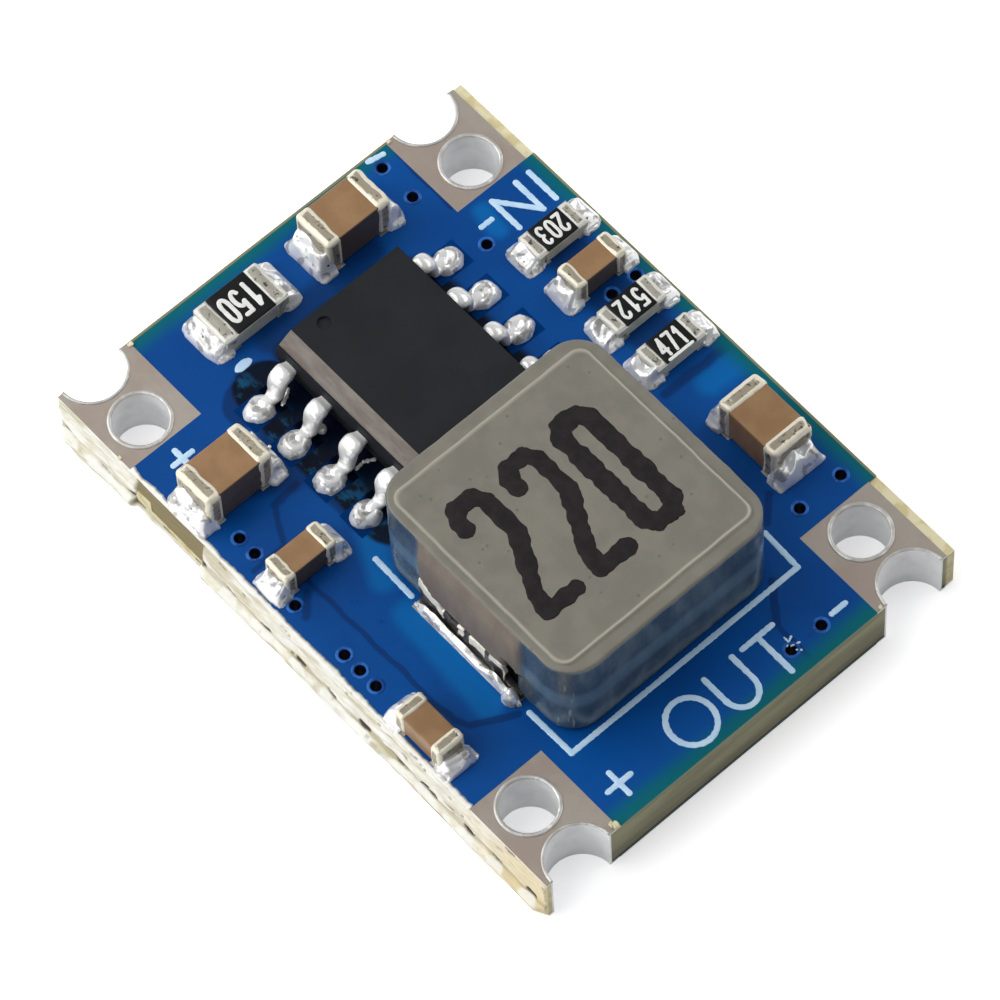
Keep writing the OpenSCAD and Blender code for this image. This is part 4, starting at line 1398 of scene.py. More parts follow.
@dataclass
class Board:
    """Printed board: its legend, via rims, hole lips and snapped edge."""

    via_r: float = 0.15
    via_ring: float = 0.07
    barrel_r: float = 0.21
    legend_w: float = 0.15
    smear_w: float = 0.05
    row_y: float = 5.21
    hole_x: float = 6.85
    hole_lip: tuple[float, float, float] = (0.685, 0.8, 0.03)
    notch_lip: tuple[float, float, float] = (0.84, 0.92, 0.025)
    # Sign, way it reads, X and Y of its corner, width and height; Y from the middle line.
    words: tuple[tuple, ...] = (
        ("I", -1, -5.67, 6.46, 0.84, 0.98), ("N", -1, -5.67, 5.62, 0.77, 1.0),
        ("O", 1, 8.42, -1.6, 1.18, 1.26), ("U", 1, 8.42, -0.08, 0.87, 1.22),
        ("T", 1, 8.41, 1.1, 0.94, 1.19),
    )
    marks: tuple[tuple, ...] = (
        ("+", 1, 8.18, -3.64, 0.7, 0.7), ("-", 1, 8.2, 3.25, 0.42, 0.5),
        ("-", -1, -5.55, 4.51, 0.32, 0.5), ("+", 1, -5.09, -5.44, 0.58, 0.58),
    )
    lines: tuple[tuple, ...] = (
        ((-0.3, -3.57), (1.0, -3.6)), ((5.1, -3.6), (6.53, -3.58)), ((6.53, -3.58), (6.52, 3.5)),
        ((6.52, 3.5), (5.35, 3.55)), ((-8.51, 3.4), (-8.43, 3.81)),
    )
    smear: tuple[tuple, ...] = (
        ((7.86, 1.92), (7.74, 2.16)), ((7.92, 2.0), (7.98, 2.2)), ((8.08, 2.02), (8.16, 2.1)),
        ((7.8, 2.02), (7.66, 2.02)),
    )
    pin_mark: tuple[float, float] = (-6.32, -2.46)
    pin_mark_size: tuple[float, float] = (0.13, 0.25)
    # Middle and size of each curl.
    curls: tuple[tuple, ...] = (
        (8.58, -4.2, 1.62, 0.1), (8.52, -4.28, 1.66, 0.07), (8.6, 4.06, 1.61, 0.06),
        (-8.56, -4.2, 1.61, 0.07), (-6.4, -6.36, 1.6, 0.06), (-8.6, 4.02, 1.61, 0.06),
    )

    def __post_init__(self) -> None:
        """Reads the board's box and its middle line from the frame."""
        self.box = Box.of("substrate", "mask_top", "mask_bottom")
        self.deck = self.box.high[2]
        self.middle = Box.of("controller_body").centre[1]

    def dress(self) -> None:
        """Finishes the CAD nodes that stay."""
        finishes = {"substrate": LAMINATE, "mask_top": MASK, "mask_bottom": MASK, "lands": LAND_TIN,
                    "via_barrels": VIA_WALL, **dict.fromkeys(PADS, PAD_TIN)}
        for node, finish in finishes.items():
            dress(node, finish)

    def legend(self) -> None:
        """Input and output names, signs, the outline of the inductor and a smear by a via."""
        pen = Pen(self.deck, self.legend_w, ragged=0.08)
        words, marks = Mesh(), Mesh()
        half, rise = self.pin_mark_size, 0.014
        for mesh, rows in ((words, self.words), (marks, self.marks)):
            for sign, way, x, y, width, height in rows:
                pen.write(mesh, sign, (x, self.middle + y), way, (width, height))
        words.make("legend_words", LEGEND, "solder_mask")
        for tip, lines in ((pen, self.lines), (Pen(self.deck, self.smear_w, ragged=0.3), self.smear)):
            for line in lines:
                tip.draw(marks, np.array(line) + [0, self.middle])
        marks.make("legend_marks", LEGEND, "solder_mask")
        shape, quads = bead(half, lambda x, y: rise + 0 * x, power=2.2, rings=10, sectors=32, seed=5)
        dot = shape + [self.pin_mark[0], self.middle + self.pin_mark[1], self.deck]
        make_piece("legend_pin_mark", LEGEND, "solder_mask", (dot, quads))

    def ring(self, centre: Sequence[float], inner: float, outer: float, height: float,
             start: float = 0.0, end: float = 360.0) -> tuple[Array, Array]:
        """Low round-topped rim round a hole: an oval turned about the hole.

        Args:
            centre: Middle of the hole on its face.
            inner: Inner radius.
            outer: Outer radius.
            height: Height over the face.
            start: Start angle in degrees.
            end: End angle in degrees.

        Returns:
            Points and quads.
        """
        turn = np.radians(np.linspace(start, end, 49))
        path = np.c_[circle(turn), 0 * turn]
        middle = path * (inner + outer) / 2 + np.array(centre)
        section = oval(np.full(len(turn), (outer - inner) / 2), np.full(len(turn), height), 2.4, 12)
        return sweep(middle, path, Z_AXIS, section)

    def vias(self) -> None:
        """A rim of mask over copper round each via on the deck."""
        rims = Mesh()
        for x, y in self.via_places():
            rims.add(*self.ring((x, y, self.deck), self.via_r - 0.01, self.via_r + self.via_ring, 0.014))
        rims.make("via_rims", VIA_RIM, "solder_mask")

    def via_places(self) -> list[tuple[float, float]]:
        """Middles of the vias, from the barrels' own mesh.

        The barrels' points are sorted into clusters a barrel wide, and the
        middle of each cluster's box is a via's middle.
        """
        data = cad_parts["via_barrels"].data
        points = np.empty(len(data.vertices) * 3)
        data.vertices.foreach_get("co", points)
        flat = np.unique(np.round(points.reshape(-1, 3)[:, :2] / MM, 3), axis=0)
        places = []
        while len(flat):
            near = np.linalg.norm(flat - flat[0], axis=1) < 2 * self.barrel_r
            group = flat[near]
            places.append(tuple((group.min(axis=0) + group.max(axis=0)) / 2))
            flat = flat[~near]
        return places

    def pin_rims(self) -> None:
        """Rounded tin lips round the pin holes and the end notches."""
        lips = Mesh()
        for node in PADS:
            pad = Box.of(node)
            end = math.copysign(1, pad.centre[0])
            row = self.middle + math.copysign(self.row_y, pad.centre[1])
            lips.add(*self.ring((end * self.hole_x, row, self.deck), *self.hole_lip))
            notch = (end * self.box.high[0], row, self.deck)
            lips.add(*self.ring(notch, *self.notch_lip, 90.0 * end, 90.0 * end + 180))
        lips.make("pin_hole_lips", LIP, "tinned_pad")

    def burrs(self) -> None:
        """Curled tin and glass left beside the notches and on the front edge."""
        mesh = Mesh()
        for x, y, z, size in self.curls:
            shape, quads, _ = rounded_block((size, size * 0.8, size * 0.6), size * 0.5, arc=3, flat=3)
            shape = shape * (1 + 0.3 * waves(shape + x, 0.2, 51, 2)[:, None])
            mesh.add(shape + [x, y, z], quads)
        mesh.make("edge_burrs", BURR, "laminate")

    def build(self) -> None:
        """Builds and dresses the board."""
        self.dress()
        SnappedEdge(self.box).build()
        self.burrs()
        self.legend()
        self.vias()
        self.pin_rims()


# ---------- Controller ----------


@dataclass
class Controller:
    """Eight-lead regulator: its moulding, bent leads and soldered toes."""

    width: float = 0.42
    thickness: float = 0.2
    bend_r: float = 0.22
    lean: float = math.radians(10)
    foot: float = 0.36
    root: float = 0.3
    held: float = 0.4
    bead_r: float = 0.36
    bead_h: float = 0.28
    # Middle and radius of each ball of spatter, and the points of each thread.
    balls: tuple[tuple, ...] = ((-3.73, -2.37, 0.13), (-4.22, -3.58, 0.05), (-3.5, -3.86, 0.06))
    threads: tuple[tuple, ...] = (
        ((-4.88, -2.6), (-4.98, -2.4), (-5.1, -2.24)), ((-2.4, -2.46), (-2.42, -2.2), (-2.3, -1.98)),
        ((-3.62, -3.7), (-3.5, -3.8)),
    )

    def __post_init__(self) -> None:
        """Reads the moulding and the leads from the frame."""
        self.body = Box.of("controller_body")
        self.deck = Box.of("lead_1").low[2]
        self.plane = Box.of("lead_1").high[2] - self.deck - self.thickness / 2

    def rows(self) -> Iterator[tuple[int, Box, int]]:
        """Each lead's number, its box and its side, which is -1 at the front."""
        for number in range(1, 9):
            lead = Box.of(f"lead_{number}")
            yield number, lead, -1 if lead.centre[1] < self.body.centre[1] else 1

    def path(self, lead: Box) -> tuple[Array, Array]:
        """Middle line of a lead in its own side view.

        A root and shoulder, an arc down into the leaning leg, an arc out of it,
        and the flat foot. Distances run outwards from the moulding's side.

        Args:
            lead: The lead's box.

        Returns:
            Rows of distance and height, and unit normals on the upper side.
        """
        r, lean = self.bend_r, self.lean
        leg = (self.plane - 2 * r * (1 - math.sin(lean)) - self.thickness / 2) / math.cos(lean)
        shoulder = (lead.size[1] - self.held - self.foot
                    - 2 * r * math.cos(lean) - leg * math.sin(lean))
        upper = np.array([shoulder, self.plane - r]) + r * circle(np.linspace(math.pi / 2, lean, 9))
        start = np.stack([np.linspace(-self.root, shoulder, 9)[:-1], np.full(8, self.plane)], axis=-1)
        ray = np.array([math.sin(lean), -math.cos(lean)])
        down = upper[-1] + np.linspace(0, leg, 6)[1:-1, None] * ray
        centre = upper[-1] + leg * ray + r * circle(lean)
        lower = centre + r * circle(np.linspace(math.pi + lean, 1.5 * math.pi, 9))
        foot = lower[-1] + np.linspace(0, self.foot - 0.02, 7)[1:, None] * np.array([1.0, 0.0])
        line = np.concatenate([start, upper, down, lower, foot])
        ahead = np.gradient(line, axis=0)
        ahead /= np.linalg.norm(ahead, axis=1, keepdims=True)
        return line, np.stack([-ahead[:, 1], ahead[:, 0]], axis=-1)

    def leads(self) -> None:
        """Each lead is a lumpy strip, broad at its shoulder and narrow over its foot."""
        for number, lead, side in self.rows():
            line, normal = self.path(lead)
            edge_y = (self.body.low if side < 0 else self.body.high)[1]
            path = np.c_[np.full(len(line), lead.centre[0]), edge_y + side * line[:, 0],
                         self.deck + line[:, 1]]
            up = np.c_[np.zeros(len(line)), side * normal[:, 0], normal[:, 1]]
            walk = np.r_[0, np.cumsum(np.linalg.norm(np.diff(line, axis=0), axis=1))] - self.root
            shoulder = smooth_step(0.0, 0.22, walk) * smooth_step(1.2, 0.45, walk)
            neck = np.exp(-(((walk - 1.2) / 0.2) ** 2))
            half_w = self.width / 2 * (1 + 0.3 * shoulder - 0.2 * neck)
            half_t = self.thickness / 2 * (1 + 0.7 * shoulder + 0.2 * neck)
            end = np.clip((len(line) - 1 - np.arange(len(line))) / 2, 0, 1) ** 0.5 * 0.5 + 0.5
            points, quads = sweep(path, X_AXIS, up, oval(half_w * end, half_t * end, 2.6, 28))
            lump = waves(points, 0.8, 30 + number, 1)
            strip = points + 0.02 * lump[:, None] * np.array([1.0, 0.4, 0.6])
            make_piece(f"lead_strip_{number}", LEAD_PLATE, "lead_plating", (strip, quads),
                       [f"lead_{number}"])

    def toes(self) -> None:
        """A bead round each toe, hollow where the foot runs into it."""
        solder = Mesh()
        for number, lead, side in self.rows():
            tip = (lead.low if side < 0 else lead.high)[1]

            def height(x: Array, y: Array) -> Array:
                """A dome that is lower towards the moulding, less a hollow over the foot."""
                outward = side * y
                radius = np.hypot(x / self.bead_r, outward / (self.bead_r * 1.1))
                dome = np.sqrt(np.clip(1 - radius**2 * 0.8, 0, 1))
                hollow = np.exp(-((x / 0.17) ** 2 + ((outward + 0.06) / 0.2) ** 2))
                low = 0.25 * smooth_step(-0.1, -0.4, outward)
                return self.bead_h * (1.15 * dome - 0.5 * hollow) * (1 - low)

            shape, quads = bead((self.bead_r, self.bead_r * 1.15), height, power=2.2, uneven=0.06,
                                seed=number)
            shape[:, 2] *= 1 + 0.1 * waves(shape + number, 0.6, 60 + number, 1)
            solder.add(shape + [lead.centre[0], tip - side * 0.03, self.deck], quads)
        solder.make("controller_toe_solder", SOLDER, "solder", ["controller_solder"])

    def spatter(self) -> None:
        """Loose balls and threads of solder between the leads."""
        loose = Mesh()
        for x, y, size in self.balls:
            shape, quads = bead((size, size), lambda a, b: 1.3 * size + 0 * a, power=2, rings=8, sectors=20)
            loose.add(shape + [x, y, self.deck], quads)
        pen = Pen(self.deck, 0.1, ragged=0.25, raised=0.03)
        for line in self.threads:
            pen.draw(loose, np.array(line))
        loose.make("solder_spatter", SOLDER, "solder")

    def build(self) -> None:
        """Builds and dresses the controller."""
        dress("controller_body", MOULDING)
        self.leads()
        self.toes()
        self.spatter()


# ---------- Inductor ----------


@dataclass
class Inductor:
    """Moulded power inductor: body, folded terminals, solder and value."""

    corner_r: float = 0.88
    edge_r: float = 0.09
    foot_r: float = 0.1
    crown_h: float = 0.04
    terminal_half: float = 1.75
    sheet: float = 0.18
    boss_low: float = 0.8
    boss_out: float = 0.1
    ridge: tuple[float, float] = (0.37, 0.5)
    pocket: tuple[float, float] = (1.14, 1.6)
    pocket_z: float = 1.32
    code: str = "220"
    code_at: tuple[float, float] = (4.63, -2.29)
    code_size: tuple[float, float] = (0.84, 3.36)
    code_pitch: float = 1.6
    code_stroke: float = 0.48
    # Height of a clip's top at each distance from its input end.
    clip_at: tuple[float, ...] = (0.0, 0.68, 0.78, 2.38, 2.53, 2.88, 2.98, 3.5)
    clip_top: tuple[float, ...] = (1.08, 0.78, 0.6, 0.72, 0.95, 0.9, 0.25, 0.2)
    sides: int = 288

    def __post_init__(self) -> None:
        """Reads the moulding and the terminals from the frame."""
        self.body = Box.of("inductor_body")
        self.deck = Box.of("terminal_front").low[2]
        self.top = self.body.high[2] - self.deck - self.crown_h

    def terminals(self) -> Iterator[tuple[str, Box, int, float]]:
        """Each terminal's node, its box, its side and the Y of its outer face."""
        for side, node in ((-1, "terminal_front"), (1, "terminal_rear")):
            box = Box.of(node)
            yield node, box, side, (box.low if side < 0 else box.high)[1]

    def outline(self, length: float, width: float, radius: float) -> Array:
        """Rectangle with round corners, walked counter-clockwise in even turns.

        Args:
            length: Length along X.
            width: Width along Y.
            radius: Corner radius.

        Returns:
            Points as rows.
        """
        per = self.sides // 4
        arc_n = per // 3
        reach = np.array([length / 2 - radius, width / 2 - radius])
        middles = [reach * sign for sign in ((1, 1), (-1, 1), (-1, -1), (1, -1))]
        points = []
        for quarter, middle in enumerate(middles):
            first, last = quarter * math.pi / 2, (quarter + 1) * math.pi / 2
            turn = first + np.linspace(0, math.pi / 2, arc_n, endpoint=False)
            points.append(middle + radius * circle(turn))
            tip = radius * circle(last)
            start, goal = middle + tip, middles[(quarter + 1) % 4] + tip
            share = np.linspace(0, 1, per - arc_n, endpoint=False)[:, None]
            points.append(start + share * (goal - start))
        return np.concatenate(points)

    def profile(self) -> Array:
        """Rows of inset and height from the bottom edge to the border of the raised top.

        A short bottom round, the upright side, the round upper edge, a shoulder
        and a soft ridge.
        """
        low = self.body.low[2] - self.deck
        down = circle(np.radians(np.linspace(-80, 0, 5))) * [-1, 1]
        foot = self.foot_r * (down + 1) + [0, low]
        side = np.stack([np.zeros(26), np.linspace(low + self.foot_r, self.top - self.edge_r, 26)], axis=-1)
        turn = circle(np.radians(np.linspace(0, 90, 9))[1:]) * [-1, 1]
        edge = self.edge_r * (turn + [1, -1]) + [0, self.top]
        inset = np.array([0.2, 0.3, 0.36, 0.385, 0.405, 0.425, 0.445, 0.465, 0.485, 0.52, 0.7])
        step = smooth_step(self.ridge[0], self.ridge[0] + 0.05, inset)
        ridge = 0.05 * step - 0.014 * smooth_step(0.44, 0.48, inset)
        return np.concatenate([foot, side[1:], edge, np.stack([inset, self.top + ridge], axis=-1)])

    def moulding(self) -> None:
        """The body: its outline carried up the profile, with a boss on each long side.

        The boss pushes a point outwards where it is within the terminal's width
        and between the boss's foot and its sloping top. A pocket by the front
        terminal's output end pushes points inwards, and the shoulder settles
        towards the front.
        """
        length = self.body.size[0]
        width = self.body.size[1] - 2 * self.boss_out
        profile = self.profile()
        rings = []
        for inset, height in profile:
            radius = max(self.corner_r - 1.4 * inset, 0.3)
            flat = self.outline(length - 2 * inset, width - 1.4 * inset, radius)
            rings.append(np.c_[flat, np.full(len(flat), height)])
        rings = np.array(rings)
        x, y, z = rings[..., 0], rings[..., 1], rings[..., 2]
        side = np.sign(y)
        half = self.terminal_half - 0.45 * smooth_step(1.3, 0.8, z)
        along = smooth_step(half + 0.12, half - 0.1, np.abs(x))
        long_side = smooth_step(width / 2 - 0.3, width / 2 - 0.15, np.abs(y))
        boss = along * long_side * smooth_step(self.boss_low - 0.02, self.boss_low + 0.1, z)
        under = along * long_side * smooth_step(self.boss_low + 0.04, self.boss_low - 0.02, z)
        rings[..., 1] += side * self.boss_out * boss * np.clip((self.top - z) / 0.6, 0, 1)
        start, end = self.pocket
        pocket = (smooth_step(start, start + 0.06, x) * smooth_step(end, end - 0.08, x)
                  * smooth_step(self.pocket_z, self.pocket_z - 0.1, z) * long_side * (side < 0))
        rings[..., 1] += 0.12 * pocket
        rings[..., 1] -= 0.05 * smooth_step(0.1, 0.38, profile[:, :1])
        inset = profile[:, :1] + 0 * z
        first, last = self.ridge
        # boss marks the bosses painted as lit, gap the recesses painted in shade, and ridge the painted
        # highlight on the edge of the raised top.
        masks = {
            "boss": boss,
            "gap": np.maximum(under, pocket),
            "ridge": smooth_step(first, first + 0.03, inset) * smooth_step(last, last - 0.04, inset),
        }
        lids = [rings[-1:] * [1 - share, 1 - share, 1] for share in (0.25, 0.5, 0.75, 1.0)]
        rings = np.concatenate([rings[:1] * [0, 0, 1], rings, *lids])
        points = rings.reshape(-1, 3)
        points = points + 0.006 * waves(points, 0.9, 11, 3)[:, None] * np.array([1.0, 1.0, 0.4])
        points = points + [*self.body.centre[:2], self.deck]
        make_piece("inductor_moulding", CORE, "iron_powder",
                   (points, lattice(len(rings), rings.shape[1], wrap=True)), ["inductor_body"],
                   **{name: np.concatenate([mask[:1], mask, 0 * mask[:len(lids)]]).reshape(-1)
                      for name, mask in masks.items()})

    def value(self) -> None:
        """A plain number on the top, in broad ragged strokes."""
        ink = Mesh()
        pen = Pen(self.body.high[2] - 0.004, self.code_stroke, ragged=0.16, raised=0.01)
        corner = (self.code_at[0], self.body.centre[1] + self.code_at[1])
        pen.write(ink, self.code, corner, 1, self.code_size, self.code_pitch, BLOCK_GLYPHS)
        ink.make("inductor_value", CORE_INK, "iron_powder")

    def clips(self) -> None:
        """Folded terminals: an L section carried along X, uneven and worn down at its top.

        The section's rows climb the outer face, turn over the top, come down the
        inner face and run under the moulding. Tin stays bright near the top but
        for missing pieces in the middle and the worn output end; below that band
        the clip is near black, worn tin with painted shade along the seam.
        """
        for node, box, side, face in self.terminals():
            x = np.linspace(box.low[0], box.high[0], 150)
            start = x - box.low[0]
            top = self.deck + np.interp(start, self.clip_at, self.clip_top)
            top += 0.03 * ripple(x, 0.7, 71 + side)
            low = self.deck + 0.005
            climb = np.linspace(0, 1, 14) * 0.97
            out_y = np.r_[np.zeros(14), -0.03, -0.09, -0.15, np.full(5, -self.sheet), -1.2, -1.2, 0.0]
            share = np.r_[climb, 1.0, 1.02, 1.0, np.linspace(0.95, 0.2, 5), 0.16, 0.0, 0.0]
            z = low + share[None] * (top - low)[:, None]
            dent = waves(np.stack([x[:, None] + 0 * z, z], axis=-1), 0.6, 73, 2)
            y = out_y[None] + 0.02 * dent * (out_y > -0.05)
            middle = smooth_step(0.7, 0.8, start) * smooth_step(2.5, 2.4, start)
            pieces = smooth_step(-0.15, 0.15, ripple(x, 0.8, 75))
            kept = (1 - middle * (1 - pieces)) * smooth_step(2.96, 2.9, start)
            depth = (1 - share[None]) * (top - low)[:, None]
            # Below the cream band the clip takes its near-black colour, worn tin with painted shade along
            # the seam.
            cream = smooth_step(0.36, 0.26, depth) * kept[:, None]
            cream = np.concatenate([cream[:1], cream, cream[-1:]]).reshape(-1)
            path = x[:, None] * X_AXIS + [0, face, 0]
            make_piece(f"clip_{node.split('_')[1]}", CLIP_TIN, "tinned_terminal",
                       sweep(path, side * Y_AXIS, Z_AXIS, np.stack([y, z], axis=-1)), [node], rim=cream)

    def seam(self) -> None:
        """Solder along each terminal: a lumpy strip that ends in a bead at the output side."""
        solder = Mesh()
        for _, box, side, face in self.terminals():

            def height(x: Array, y: Array) -> Array:
                """Highest against the terminal."""
                return 0.1 + 0.14 * smooth_step(-0.18, 0.12, -side * y) + 0 * x

            shape, quads = bead((box.size[0] / 2 + 0.04, 0.085), height, power=6, rings=24, sectors=220,
                                uneven=0.03, seed=5 + side)
            shape[:, 2] *= 1 + 0.3 * waves(shape * [1, 1, 0.5], 0.8, 81 + side, 2)
            shape[:, 1] *= 1 + 0.2 * ripple(shape[:, 0], 0.9, 83 + side)
            solder.add(shape + [box.centre[0], face + side * 0.13, self.deck], quads)
            blob, quads = bead((0.24, 0.2), lambda x, y: 0.4 * np.exp(-(x**2 + y**2) / 0.05) + 0.03,
                               power=2.2, seed=9)
            solder.add(blob + [box.high[0] - 0.18, face + side * 0.16, self.deck], quads)
        solder.make("inductor_seam", SOLDER, "solder", ["inductor_solder"])

    def build(self) -> None:
        """Builds and dresses the inductor."""
        self.moulding()
        self.value()
        self.clips()
        self.seam()


# ---------- Chips ----------


@dataclass
class Chip:
    """Two-ended chip part: its body, its ends, its solder and its code."""

    name: str
    end_share: float = 0.225
    spread: float = 0.12

    def __post_init__(self) -> None:
        """Reads the chip's box from its ends, and which way it lies."""
        self.box = Box.of(f"{self.name}_ends")
        self.along = 0 if self.box.size[0] > self.box.size[1] else 1
        self.length = self.box.size[self.along]
        self.width = self.box.size[1 - self.along]
        self.height = self.box.size[2]
        self.seed = sum(map(ord, self.name))

    def settle(self, points: Array) -> Array:
        """Turns points from the chip's own frame, length along X, to its place."""
        if self.along == 1:
            points = points[:, [1, 0, 2]] * [-1, 1, 1]
        centre = self.box.centre * [1, 1, 0] + [0, 0, self.box.low[2]]
        return points + centre

    def ends(self, radius: float, finish: Finish) -> None:
        """Two rounded terminations.

        Args:
            radius: Radius of their edges.
            finish: Their finish.
        """
        caps = Mesh()
        length = self.end_share * self.length
        for end in (-1, 1):
            half = (length / 2, self.width / 2, self.height / 2)
            points, quads, rim = rounded_block(half, min(radius, length * 0.42), arc=5, flat=12)
            points = points + 0.01 * waves(points + end, 0.5, self.seed, 2)[:, None]
            points += [end * (self.length - length) / 2, 0, self.height / 2]
            caps.add(self.settle(points), quads, rim=rim)
        caps.make(f"{self.name}_terminations", finish, "chip_termination", [f"{self.name}_ends"])

    def solder(self, climb: float, reach: float = 0.38) -> None:
        """A blob at each end, falling away from the end face.

        Args:
            climb: Height at the end face.
            reach: How far it runs out over the land.
        """
        blobs = Mesh()
        under = self.end_share * self.length * 0.6
        for end in (-1, 1):
            half = ((under + reach) / 2, self.width / 2 + self.spread)
            shift = (reach - under) / 2

            def height(x: Array, y: Array) -> Array:
                """Climb at the face, a rounded fall outwards, and low shoulders at the sides."""
                out = np.clip((x + shift) / reach, 0, 1)
                edge = self.width / 2
                beside = smooth_step(edge + self.spread * 0.5, edge - 0.12, np.abs(y))
                return climb * (1 - out**1.3 * 0.62) * (0.4 + 0.6 * beside)

            shape, quads = bead(half, height, power=4.5, rings=26, sectors=72, uneven=0.05,
                                seed=self.seed + end)
            shape[:, 2] *= 1 + 0.2 * waves(shape + end, 0.7, self.seed + 3 + end, 2)
            shape[:, 0] = end * (shape[:, 0] + shift + self.length / 2)
            blobs.add(self.settle(shape), quads)
        blobs.make(f"{self.name}_fillets", SOLDER, "solder", [f"{self.name}_solder"])


@dataclass
class Capacitor(Chip):
    """Ceramic capacitor."""

    inset: float = 0.035

    def build(self) -> None:
        """Builds the ceramic, the ends and the solder."""
        half = (self.length / 2 - 0.06, self.width / 2 - self.inset, self.height / 2 - self.inset)
        points, quads, _ = rounded_block(half, 0.04, arc=3, flat=6)
        points = self.settle(points + [0, 0, self.height / 2])
        make_piece(f"{self.name}_block", CERAMIC, "capacitor_ceramic", (points, quads), [self.name])
        self.ends(0.13 if self.height > 1 else 0.1, CAP_END)
        self.solder(self.height * 0.6)


@dataclass
class Resistor(Chip):
    """Thick-film resistor with a dark overcoat and a plain number."""

    code: str = ""
    turned: bool = False
    underlined: bool = False
    large_l: float = 1.9

    def mark(self) -> None:
        """The number, reading along the chip in white strokes."""
        box = Box.of(f"{self.name}_coat")
        small = self.length < self.large_l
        height = box.size[0] * (0.7 if small else 0.6)
        pitch = box.size[1] / 3.25
        width = pitch * 0.6
        start = (len(self.code) - 1) * pitch / 2 + width / 2
        way = 1 if self.turned else -1
        x, y, _ = box.centre
        ink = Mesh()
        pen = Pen(box.high[2], 0.085 if small else 0.115, ragged=0.06, raised=0.008)
        pen.write(ink, self.code, (x + way * height / 2, y - way * start), way, (width, height), pitch)
        if self.underlined:
            line_x = x + way * (height / 2 + 0.1)
            pen.draw(ink, np.array([[line_x, y - start], [line_x, y + start]]))
        ink.make(f"{self.name}_value", CODE, "resistor_overcoat")

    def build(self) -> None:
        """Builds the alumina, the overcoat, the ends, the solder and the number."""
        dress(self.name, ALUMINA)
        coat = Box.of(f"{self.name}_coat")
        points, quads, _ = rounded_block(coat.size / 2 + [0.02, 0.03, 0.0], 0.02, arc=2, flat=6)
        make_piece(f"{self.name}_film", OVERCOAT, "resistor_overcoat", (points + coat.centre, quads),
                   [f"{self.name}_coat"])
        self.ends(0.1, RES_END)
        self.solder(self.height * 0.85, reach=0.4)
        self.mark()


# ---------- Stage ----------


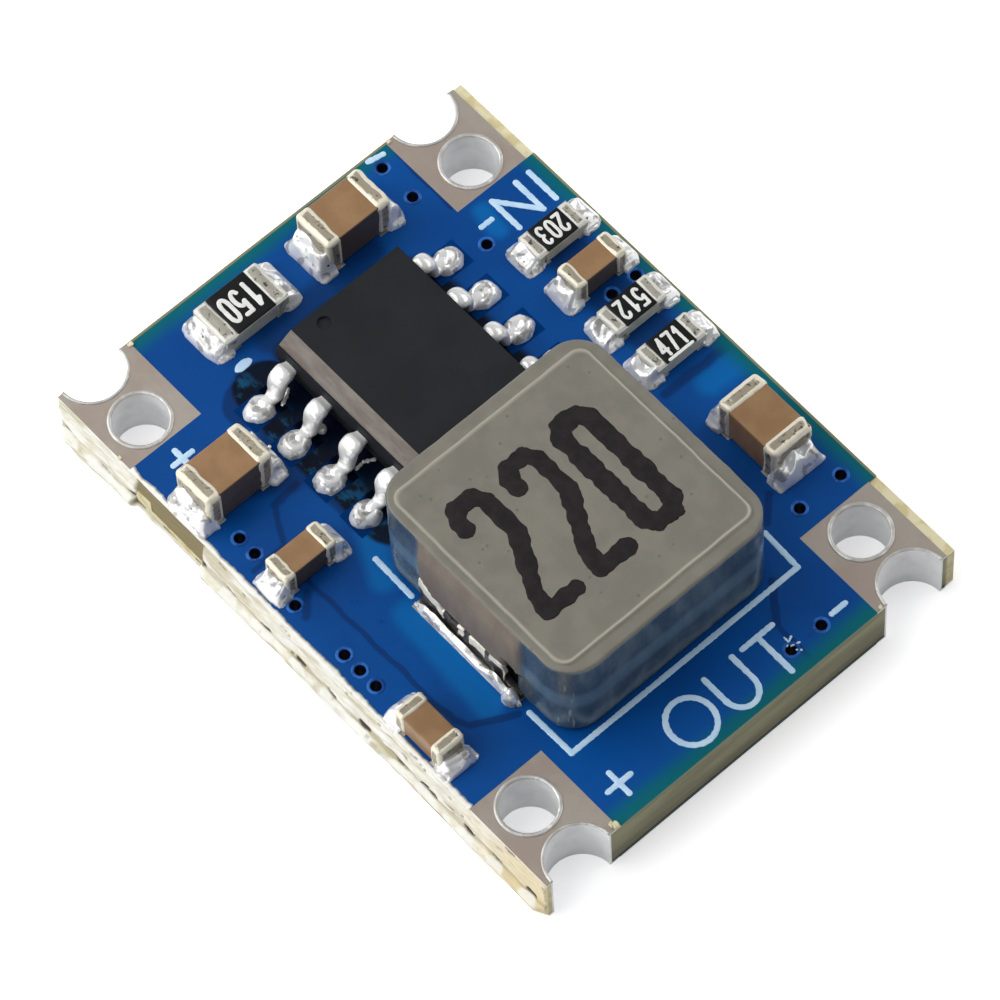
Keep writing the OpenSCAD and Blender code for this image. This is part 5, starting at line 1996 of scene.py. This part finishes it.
@dataclass
class Stage:
    """Pale floor, soft lamps and the camera."""

    floor_half: float = 1200.0
    glow: float = 0.41
    lamp_distance: float = 150.0
    # Name, direction, two sides and radiance of each lamp.
    lamps: tuple[tuple, ...] = (
        ("key", (-0.6, -0.5, 0.85), (170, 170), 1.85), ("front", (-0.25, -0.92, 0.36), (180, 60), 1.6),
        ("rear", (0.15, 0.85, 0.62), (160, 80), 1.6),
    )
    target: tuple[float, float, float] = (0.573, -0.418, 1.6)
    azimuth: float = 51.492
    elevation: float = 61.897
    roll: float = -3.737
    distance: float = 162.22
    lens: float = 249.65
    shift: tuple[float, float] = (-0.0055, -0.001)

    def floor(self) -> None:
        """A wide pale sheet that takes the shadow."""
        finish = bpy.data.materials.new("pale_floor")
        finish.use_nodes = True
        tree = Tree(finish.node_tree)
        shader = finish.node_tree.nodes["Principled BSDF"].inputs
        paths = tree.node("LightPath").outputs
        seen = tree.math("MAXIMUM", paths["Is Camera Ray"],
                         tree.math("MAXIMUM", paths["Is Glossy Ray"], paths["Is Transmission Ray"]))
        cloud = tree.noise(tree.place(), 60.0, 2)
        matt = tree.mix(cloud, (0.80, 0.80, 0.80), (0.83, 0.83, 0.83))
        tree.fill(shader, {
            "Base Color": tree.mix(seen, matt, (1.0, 1.0, 1.0)), "Roughness": 0.9,
            "Specular IOR Level": 0.0, "Emission Color": (1.0, 1.0, 1.0),
            "Emission Strength": tree.times(seen, self.glow),
        })
        side = np.array([-1.0, 1.0]) * self.floor_half
        x, y = np.meshgrid(side, side, indexing="ij")
        corners = np.stack([x, y, 0 * x], axis=-1).reshape(-1, 3)
        data = bpy.data.meshes.new("floor")
        data.from_pydata((corners * MM).tolist(), [], lattice(2, 2)[:, ::-1].tolist())
        data.materials.append(finish)
        sheet = bpy.data.objects.new("floor", data)
        bpy.context.scene.collection.objects.link(sheet)
        sheet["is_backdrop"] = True

    def lamp(
        self, name: str, direction: Sequence[float], size: tuple[float, float], power: float
    ) -> None:
        """A rectangular soft lamp that faces the part.

        Args:
            name: Name of the lamp.
            direction: Direction from the part to the lamp.
            size: Its two sides in millimetres.
            power: Radiance, where 1 looks white.
        """
        data = bpy.data.lights.new(name, "AREA")
        data.shape = "RECTANGLE"
        data.size, data.size_y = size[0] * MM, size[1] * MM
        data.energy = power * data.size * data.size_y * math.pi
        way = Vector(direction).normalized()
        made = bpy.data.objects.new(name, data)
        made.location = way * self.lamp_distance * MM
        made.rotation_mode = "QUATERNION"
        made.rotation_quaternion = way.to_track_quat("Z", "Y")
        bpy.context.scene.collection.objects.link(made)

    def world(self) -> None:
        """Soft grey room that is pale towards the input end and dark towards the output end."""
        world = bpy.data.worlds.new("room")
        bpy.context.scene.world = world
        world.use_nodes = True
        tree = Tree(world.node_tree)
        back = world.node_tree.nodes["Background"].inputs
        way = tree.node("TexCoord").outputs["Generated"]
        x, _, z = tree.split(way)
        side = tree.mix(tree.band(x, -0.8, 0.7), (0.5, 0.51, 0.53), (0.12, 0.125, 0.13))
        tree.wire(tree.mix(tree.band(z, 0.45, 0.95), side, (0.4, 0.4, 0.41)), back["Color"])
        back["Strength"].default_value = 1.0

    def camera(self) -> None:
        """Long lens above the output end and the snapped edge, with a small roll."""
        a, e, r = (math.radians(v) for v in (self.azimuth, self.elevation, self.roll))
        back = Vector((math.sin(a) * math.cos(e), -math.cos(a) * math.cos(e), math.sin(e)))
        right = Vector((math.cos(a), math.sin(a), 0))
        up = back.cross(right)
        turned_right = math.cos(r) * right + math.sin(r) * up
        turned_up = -math.sin(r) * right + math.cos(r) * up
        data = bpy.data.cameras.new("camera")
        data.lens = self.lens
        data.sensor_width = 36
        data.shift_x, data.shift_y = self.shift
        data.clip_start, data.clip_end = 0.01, 10
        camera = bpy.data.objects.new("camera", data)
        place = (Vector(self.target) + back * self.distance) * MM
        axes = Matrix((turned_right, turned_up, back)).transposed()
        camera.matrix_world = Matrix.Translation(place) @ axes.to_4x4()
        bpy.context.scene.collection.objects.link(camera)
        bpy.context.scene.camera = camera

    def build(self) -> None:
        """Builds the stage."""
        self.camera()
        self.floor()
        self.world()
        for row in self.lamps:
            self.lamp(*row)
        bpy.context.scene.view_settings.view_transform = "Standard"


def main() -> None:
    """Builds every sub-assembly in order."""
    logging.basicConfig(level=logging.INFO, format="%(name)s %(message)s")
    Stage().build()
    Board().build()
    Controller().build()
    Inductor().build()
    for name in ("input", "supply", "output", "boost", "filter", "feed"):
        Capacitor(f"{name}_capacitor").build()
    for name, code in (("sense_resistor", "150"), ("resistor_1", "203"), ("resistor_2", "512")):
        Resistor(name, code=code).build()
    Resistor("resistor_3", code="471", turned=True, underlined=True).build()
    boxes = {"cad": CAD_BOX, "visual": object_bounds()}
    {key: [list(corner) for corner in pair] for key, pair in boxes.items()}


if __name__ == "__main__":
    main()
